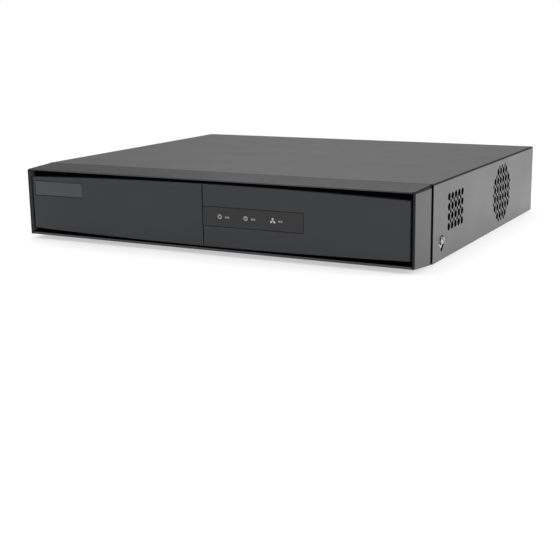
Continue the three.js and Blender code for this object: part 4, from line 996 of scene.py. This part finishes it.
def shield_outline(centre, size):
    """The round-cornered D of an analog video socket, wider at its top."""
    x0, x1 = centre.x - size[0] / 2, centre.x + size[0] / 2
    z0, z1 = centre.z - size[1] / 2, centre.z + size[1] / 2
    left, right = x0 + SHIELD_ROUND, x1 - SHIELD_ROUND
    corners = [(right, z1 - SHIELD_ROUND, -SHIELD_TILT, 90),
               (left, z1 - SHIELD_ROUND, 90, 180 + SHIELD_TILT),
               (left + SHIELD_SLOPE, z0 + SHIELD_ROUND, 180 + SHIELD_TILT, 270),
               (right - SHIELD_SLOPE, z0 + SHIELD_ROUND, 270, 360 - SHIELD_TILT)]
    return [point for x, z, start, end in corners for point in arc((x, z), SHIELD_ROUND, start, end, 7)]


def make_jackscrew(side, place):
    end = span("vga_jackscrew_" + side)[1].y
    base = REAR + NUT_LIFT
    corner = NUT_FLATS / 2 / cos(pi / 6)
    nut = turn(rod(corner, end - base), (place.x, base, place.z), 6)
    chamfer = turn([(corner + wider, along) for wider, along in NUT_CHAMFER], (place.x, end, place.z))
    bore = turn(NUT_BORE, (place.x, end - NUT_BORE_DEPTH, place.z), SMALL)
    # The bore's floor takes the painted black shade, its walls steel
    for facet in bore.faces:
        facet.material_index = int(facet.calc_center_median().y < end - NUT_BORE_DEPTH + NEAR)
    cuts = ((chamfer, NICKEL), (bore, STEEL, SOCKET_BLACK_AND_SHADE))
    add_piece(f"jackscrew_{side}_nut", nut, NICKEL, "vga_jackscrew_" + side, cuts=cuts)


def make_analog_socket():
    low, high = span("vga_jack")
    screws = [middle("vga_jackscrew_left"), middle("vga_jackscrew_right")]
    centre = (screws[0] + screws[1]) / 2
    mouth = high.y
    add_body("analog_video_body", low, high, ANALOG_ROUND)
    lip_end = REAR + LIP_DEPTH
    lip = plate(shield_outline(centre, LIP_SIZE), WALL_INSIDE, lip_end)
    add_piece("analog_video_lip", round_edges(lip, LIP_ROUND, 3, behind(lip_end - NEAR)), STEEL, "vga_jack")
    shell = plate(shield_outline(centre, SHIELD_SIZE), REAR, mouth)
    round_edges(shell, SHIELD_EDGE, 2, behind(mouth - PRINT))
    hollow = plate(shield_outline(centre, HOLLOW_SIZE), mouth - HOLLOW_DEPTH, mouth + PAST)
    add_piece("analog_video_shell", shell, STEEL, cuts=[(hollow, STEEL)])
    depths = [mouth - back for back in ANALOG_CORE_REACH]
    core = plate(shield_outline(centre, ANALOG_CORE_SIZE), *depths)
    holes = []
    for row in range(PIN_ROWS):
        for i in range(PIN_COLUMNS):
            x = centre.x + (i - 2) * PIN_PITCH + (-PIN_SHIFT if row == 1 else PIN_SHIFT)
            z = centre.z + (1 - row) * PIN_ROW_PITCH
            holes.append(turn(rod(PIN_RADIUS, PIN_DEPTH), (x, mouth - PIN_START, z), PIN_SIDES))
    # The pin holes take a black darker than the core's plastic: painted shade
    add_piece("analog_video_core", core, BLACK, cuts=[(absorb(*holes), SOCKET_BLACK_AND_SHADE)])
    for side, place in zip(("left", "right"), screws):
        make_jackscrew(side, place)


# Audio sockets

AUDIO_BASE = ((3.3, 0.05), (5.1, 0.05), (5.2, 0.15), (5.2, 0.9), (5.05, 1.05), (4.5, 1.1), (4.5, 1.9),
              (4.15, 2.1))
AUDIO_MOUTH = ((4.15, 0.3), (3.95, 0), (3.55, 0), (3.45, 0.15))
AUDIO_INSIDE = ((3.45, 1.6), (3.3, 1.5))
INSERT_BASE = ((0, -2.5), (3.2, -2.5), (3.2, 1.4), (3.35, 1.7))
INSERT_MOUTH = ((3.4, 0.7), (3.15, 0.35), (2.6, 0.5), (1.85, 1.3), (1.7, 1.6))
INSERT_INSIDE = ((1.7, 0.5), (0, 0.5))
# A black disc at the bottom of each insert's hole: painted shade
AUDIO_SHADE_DISC = rod(1.66, 0.3)
AUDIO_SHADE_DISC_PLACE = 0.55


def make_audio():
    for node, finish in (("audio_in_jack", RED), ("audio_out_jack", WHITE)):
        centre = middle(node)
        reach = span(node)[1].y - REAR
        place = (centre.x, REAR, centre.z)
        shell = sleeve(AUDIO_BASE, AUDIO_MOUTH, reach, AUDIO_INSIDE)
        add_piece(node + "_shell", turn(shell, place, FINE), NICKEL)
        insert = sleeve(INSERT_BASE, INSERT_MOUTH, reach, INSERT_INSIDE)
        add_piece(node + "_insert", turn(insert, place, FINE), finish, node)
        # A black disc in the insert's hole, painted shade
        shade_disc = turn(AUDIO_SHADE_DISC, (centre.x, REAR + AUDIO_SHADE_DISC_PLACE, centre.z))
        add_piece(node + "_shade_disc", shade_disc, SOCKET_BLACK_AND_SHADE)


# Network and serial socket stack

STACK_ROUND = 0.35
NETWORK_FLOOR = 18.2
NETWORK_DEPTH = 14
NETWORK_STEPS = ((6.6, 0), (6.6, 7.6), (3.9, 7.6), (3.9, 9.1), (2.65, 9.1), (2.65, 10.5))
CONTACTS = 8
CONTACT_PITCH = 1.02
CONTACT_HALF = 0.2
CONTACT_REACHES = ((-12, -4), (0.25, 0.5))
SERIAL_FLOOR, SERIAL_STEP = 1.4, 8.4
SERIAL_HALF, SERIAL_HEIGHT, SERIAL_CORNER = 6.5, 5.1, 0.4
SERIAL_DEPTH = 11
SERIAL_TONGUE = ((-SERIAL_DEPTH, -1.6), (2.5, 4.3))
SPRING_HALF, SPRING_ROUND = 8.6, 0.15
SPRING_REACHES = ((-3, -0.6), (0.25, 0.75))


def make_stack():
    low, high = span("lan_usb_stack")
    centre = (low + high) / 2
    mouth = high.y
    body = finish_mesh("socket_stack_shell", round_edges(box(low, high), STACK_ROUND), STEEL)
    floor = low.z + NETWORK_FLOOR
    outline = [(centre.x + x, floor + z) for x, z in mirrored(NETWORK_STEPS)]
    # The cavities take black: the sockets' black plastic, darkened further as painted shade
    cuts = [(plate(outline, mouth - NETWORK_DEPTH, mouth + PAST), SOCKET_BLACK_AND_SHADE)]
    contacts = []
    for i in range(CONTACTS):
        x = centre.x + (i - (CONTACTS - 1) / 2) * CONTACT_PITCH
        contacts.append(box_from((x, mouth, floor), CONTACT_HALF, CONTACT_REACHES))
    for level in (0, 1):
        z = low.z + SERIAL_FLOOR + SERIAL_STEP * level
        low_corner, high_corner = (centre.x - SERIAL_HALF, z), (centre.x + SERIAL_HALF, z + SERIAL_HEIGHT)
        outline = rounded(low_corner, high_corner, SERIAL_CORNER)
        cuts.append((plate(outline, mouth - SERIAL_DEPTH, mouth + PAST), SOCKET_BLACK_AND_SHADE))
        add_tongue(f"serial_tongue_{level + 1}", (centre.x, mouth, z), SERIAL_TONGUE)
    carve(body, *cuts)
    dress(body, "lan_usb_stack")
    add_piece("network_contacts", absorb(*contacts), GOLD)
    spring = box_from((centre.x, mouth, high.z), SPRING_HALF, SPRING_REACHES)
    add_piece("socket_stack_spring", round_edges(spring, SPRING_ROUND), STEEL)


# Power socket

POWER_ROUND = 0.25
POWER_LIFT = 0.3
POWER_HOLE = ((0, 0), (2.9, 0), (2.9, 8.8), (3.25, 9.1), (3.25, 10), (0, 10))
POWER_HOLE_DEPTH = 9
POWER_PIN = ((0, 0), (1.0, 0), (1.0, 7.6), (0.7, 8.0), (0, 8.1))
POWER_PIN_DEPTH = 9.1


def make_power_socket():
    low, high = span("power_jack")
    centre = (low + high) / 2
    z = centre.z + POWER_LIFT
    body = round_edges(box(low, high), POWER_ROUND, 2)
    hole = turn(POWER_HOLE, (centre.x, high.y - POWER_HOLE_DEPTH, z), FINE)
    # The hole takes black: the body's plastic, darkened further as painted shade
    add_piece("power_socket_body", body, BLACK, "power_jack", cuts=[(hole, SOCKET_BLACK_AND_SHADE)])
    pin = turn(POWER_PIN, (centre.x, high.y - POWER_PIN_DEPTH, z), SMALL)
    add_piece("power_socket_pin", pin, NICKEL)


# Prints on the rear wall: a line round the inputs, numbers and pictograms

NUMBER_SHIFT = 6.35
NUMBER_ROWS = (23.35, 20.65)
NUMBER_SIZE = 2.3
PATCH_SIZE, PATCH_CORNER = (3.1, 2.5), 0.5
LINE_WIDTH = 0.28
LINE_LOW, LINE_HIGH, LINE_CORNER = (-12.8, 7.0), (122.5, 37.05), 1.9
STROKE = 0.35
CAPTION_Z = 5.6
EARTH_Z = 28.7
EARTH_RADIUS, EARTH_STROKE = 1.9, 0.3
EARTH_BARS = ((0.8, -0.3), (0.5, -0.75), (0.25, -1.2))
CAMERA_X = 54.2
AUDIO_MARKS = ((36.3, -1), (CAPTION_Z, 1))


def digits(text, place, name):
    """Text as a flat mesh in metres that faces the rear."""
    curve = bpy.data.curves.new(name, "FONT")
    curve.body = text
    curve.size = NUMBER_SIZE * MM
    curve.align_x = curve.align_y = "CENTER"
    curve.extrude = PRINT / 2 * MM
    holder = add_object(name, curve)
    bpy.context.view_layer.update()
    mesh = evaluated(holder)
    bpy.data.objects.remove(holder)
    face_rear = Matrix.Rotation(pi, 4, "Z") @ Matrix.Rotation(pi / 2, 4, "X")
    mesh.transform(Matrix.Translation(Vector(place) * MM) @ face_rear)
    return mesh


def make_numbers():
    patches = Print(REAR)
    bm = bmesh.new()
    for number in range(1, INPUTS + 1):
        x = middle(f"bnc_jack_{number:02d}").x - NUMBER_SHIFT
        z = NUMBER_ROWS[(number - 1) % 2]
        patches.patch((x, z), *PATCH_SIZE, PATCH_CORNER, 4)
        mesh = digits(str(number), (x, REAR + PRINT + PRINT / 2, z), f"number_{number}")
        bm.from_mesh(mesh)
        bpy.data.meshes.remove(mesh)
    patches.finish("number_patches", PRINT, INK)
    bm.transform(Matrix.Scale(1 / MM, 4))
    add_piece("number_digits", bm, PALE_INK)


def make_rear_lines():
    lines = Print(REAR)
    lines.border(LINE_LOW, LINE_HIGH, LINE_CORNER, LINE_WIDTH)
    lines.finish("input_outline", PRINT, LINE)
    marks = Print(REAR)
    # Direct current, under the power socket
    marks.origin = (middle("power_jack").x, CAPTION_Z)
    marks.bar((-2, 0), (2, 0), STROKE)
    for x in (-1.6, 0, 1.6):
        marks.bar((x - 0.5, -0.8), (x + 0.5, -0.8), STROKE)
    # Earth, under the ground screw
    marks.origin = (middle("ground_screw").x, EARTH_Z)
    marks.ring(EARTH_RADIUS, EARTH_STROKE, 20, 160, 12)
    marks.bar((0, 1.5), (0, -0.3), EARTH_STROKE)
    for half, z in EARTH_BARS:
        marks.bar((-half, z), (half, z), LINE_WIDTH)
    # A screen under each video socket
    for node in ("hdmi_jack", "vga_jack"):
        marks.origin = (middle(node).x, CAPTION_Z)
        marks.border((-2.0, -1.5), (2.0, 0.9), 0.4, STROKE)
        marks.bar((-1.1, -2.0), (1.1, -2.0), STROKE)
    # A camera, under the inputs
    marks.origin = (CAMERA_X, CAPTION_Z)
    marks.shape(rounded((-2.4, -2.0), (1.0, 0.4), 0.4))
    marks.shape([(1.3, -1.2), (2.5, -1.9), (2.5, 0.3), (1.3, -0.4)])
    # Arrows into and out of the audio sockets
    for z, up in AUDIO_MARKS:
        marks.origin = (middle("audio_in_jack").x, z)
        marks.shape([(-1.1, 0.5 * up), (1.1, 0.5 * up), (0, -0.9 * up)])
        marks.bar((-1.1, up), (1.1, up), STROKE)
    # Three linked boxes, under the network stack
    marks.origin = (middle("lan_usb_stack").x, CAPTION_Z)
    for place in ((0, 0.5), (-1.6, -1.4), (1.6, -1.4)):
        marks.patch(place, 1.2, 0.9, 0.15, 2)
    marks.bar((-1.7, -0.45), (1.7, -0.45), 0.25)
    marks.bar((0, -0.45), (0, 0.2), 0.25)
    marks.finish("rear_marks", PRINT, INK)


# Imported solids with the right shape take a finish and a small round

KEPT = (
    (ZINC, 0, "chassis_tray fan_bracket"),
    (BOARD, 0.1, "indicator_board mainboard hdd_board"),
    (CHIP, 0.2, "processor"),
    (FIN, 0.15, "heatsink"),
    (NICKEL, 0.3, "clock_battery"),
    (BLACK, 0.3, "audio_block"),
    (FAN, 0, "fan_frame fan_rotor"),
    (CAST, 0, "hdd_base"),
    (LID, 0.2, "hdd_lid"),
    (DISC, 0, "hdd_platters"),
    (FIN, 0, "hdd_arm"),
    (LEAD, 0, "drive_cable"),
)
SHARP_ANGLE = 40


def finish_kept_nodes():
    for finish, width, nodes in KEPT:
        for piece in [frame["nodes"][node] for node in nodes.split()]:
            piece.data.materials.clear()
            piece.data.materials.append(finish)
            if width:
                step = piece.modifiers.new("soften", "BEVEL")
                step.width = width * MM
                step.segments = 2
                step.limit_method = "ANGLE"
                step.angle_limit = radians(SHARP_ANGLE)
                step.harden_normals = True


# Floor and light

FLOOR_HALF = 6000
FLOOR_COLOUR = (0.86, 0.86, 0.86, 1)
FLOOR_ROUGHNESS = 0.9
SHADOW_REACH = 220
SHADOW_END = 620
SHADOW_LIFT = 0.5
AMBIENT = 0.45
WHITE_LIGHT = (1, 1, 1)
WARM_LIGHT = (1, 0.975, 0.965)
# The backdrop's brightness in gloss, by the sine of the height above the horizon
BACKDROP_SHARES = ((0, 1), (0.05, 0.9), (0.13, 0.29), (0.19, 0.2), (0.25, 0.06), (0.55, 0.08), (0.9, 0.6))
# Each lamp's place, aim and size in metres, its power and colour, and whether gloss shows it
LAMPS = {
    "top_light": ((-0.35, 0.1, 1.3), (0, 0, 0), (1.6, 1.6), 14, WHITE_LIGHT, True),
    "right_light": ((1.45, 0.05, 0.45), (0.1, 0, 0), (1.8, 0.8), 36, WARM_LIGHT, False),
    "front_light": ((1.1, -1.1, 0.6), (0, -0.1, 0.02), (1.2, 1.0), 4, WHITE_LIGHT, True),
    "left_light": ((-1.4, 0, 0.6), (0, 0, 0), (1.2, 1.0), 10, WHITE_LIGHT, False),
    "rear_light": ((-0.3, 1.1, 1.1), (0, 0.1, 0), (1.0, 0.8), 5, WHITE_LIGHT, True),
}


def sum_of(tree, operation, first, second):
    """One sum of two values, kept between 0 and 1."""
    return add_node(tree, "Math", {0: first, 1: second}, operation=operation, use_clamp=True).outputs["Value"]


def make_floor():
    """A white floor that takes a shadow only near the recorder."""
    finish, tree, shader = new_finish("floor_white")
    set_inputs(shader, {"Base Color": FLOOR_COLOUR, "Roughness": FLOOR_ROUGHNESS, "Specular IOR Level": 0})
    place = add_node(tree, "TexCoord")
    reach = add_node(tree, "VectorMath", {0: place.outputs["Object"]}, operation="LENGTH")
    fade = add_node(tree, "MapRange", {
        "Value": reach.outputs["Value"],
        "From Min": SHADOW_REACH * MM,
        "From Max": SHADOW_END * MM,
        "To Min": SHADOW_LIFT,
    }, interpolation_type="SMOOTHSTEP")
    path = add_node(tree, "LightPath").outputs
    shown = sum_of(tree, "ADD", path["Is Camera Ray"], path["Is Glossy Ray"])
    shown = sum_of(tree, "ADD", shown, path["Is Transmission Ray"])
    mix = add_node(tree, "MixShader", {
        "Fac": sum_of(tree, "MULTIPLY", fade.outputs["Result"], shown),
        1: shader.outputs["BSDF"],
        2: add_node(tree, "Emission").outputs["Emission"],
    })
    set_inputs(tree.nodes["Material Output"], {"Surface": mix.outputs["Shader"]})
    bm = bmesh.new()
    bmesh.ops.create_grid(bm, x_segments=1, y_segments=1, size=FLOOR_HALF)
    finish_mesh("floor", bm, finish)


def make_world():
    """A plain surround. Gloss sees bands of brightness in it, and the camera sees white."""
    world = bpy.data.worlds.new("studio")
    bpy.context.scene.world = world
    world.use_nodes = True
    tree = world.node_tree
    place = add_node(tree, "TexCoord")
    split = add_node(tree, "SeparateXYZ", {"Vector": place.outputs["Generated"]})
    ramp = add_node(tree, "ValToRGB", {"Fac": split.outputs["Z"]})
    stops = ramp.color_ramp.elements
    while len(stops) < len(BACKDROP_SHARES):
        stops.new(0.5)
    for stop, (height, level) in zip(stops, BACKDROP_SHARES):
        stop.position = height
        stop.color = (level, level, level, 1)
    path = add_node(tree, "LightPath").outputs
    gloss = sum_of(tree, "ADD", path["Is Glossy Ray"], path["Is Transmission Ray"])
    strength = AMBIENT
    for seen, level in ((gloss, ramp.outputs["Color"]), (path["Is Camera Ray"], 1)):
        strength = add_node(tree, "Mix", {"Factor": seen, "A": strength, "B": level}).outputs["Result"]
    set_inputs(tree.nodes["Background"], {"Color": (1, 1, 1, 1), "Strength": strength})


def make_lamps():
    for name, (place, aim, size, power, colour, glossy) in LAMPS.items():
        lamp = bpy.data.lights.new(name, "AREA")
        lamp.shape = "RECTANGLE"
        lamp.size, lamp.size_y = size
        lamp.energy = power
        lamp.color = colour
        holder = add_object(name, lamp)
        holder.location = place
        holder.rotation_mode = "QUATERNION"
        holder.rotation_quaternion = (Vector(aim) - Vector(place)).to_track_quat("-Z", "Y")
        holder.visible_glossy = glossy


# Camera fitted to the photograph: its place in millimetres, its three turns in degrees
PHOTO_SIZE = 560
FOCAL_PIXELS = 1085.1
CAMERA_PLACE = Vector((326.8, -638.65, 128.2))
CAMERA_TILT, CAMERA_ROLL, CAMERA_TURN = 13.179, -0.819, -28.055
SENSOR_WIDTH = 36
CLIP_START = 10


def make_camera():
    lens = bpy.data.cameras.new("camera")
    lens.sensor_width = SENSOR_WIDTH
    lens.lens = FOCAL_PIXELS / PHOTO_SIZE * SENSOR_WIDTH
    lens.clip_start = CLIP_START * MM
    camera = add_object("camera", lens)
    turned = (Matrix.Rotation(radians(CAMERA_ROLL), 4, "Y")
              @ Matrix.Rotation(radians(CAMERA_TILT), 4, "X")
              @ Matrix.Rotation(radians(CAMERA_TURN), 4, "Z"))
    facing = turned.transposed() @ Matrix.Rotation(pi / 2, 4, "X")
    camera.matrix_world = Matrix.Translation(CAMERA_PLACE * MM) @ facing
    bpy.context.scene.camera = camera


make_camera()
make_cover()
make_bezel()
make_plates()
make_front_marks()
for screw in SCREWS:
    make_screw(*screw)
make_feet()
make_inputs()
make_input_blocks()
make_digital_socket()
make_analog_socket()
make_audio()
make_stack()
make_power_socket()
make_numbers()
make_rear_lines()
finish_kept_nodes()
make_floor()
make_world()
make_lamps()
bpy.context.scene.view_settings.view_transform = "Standard"
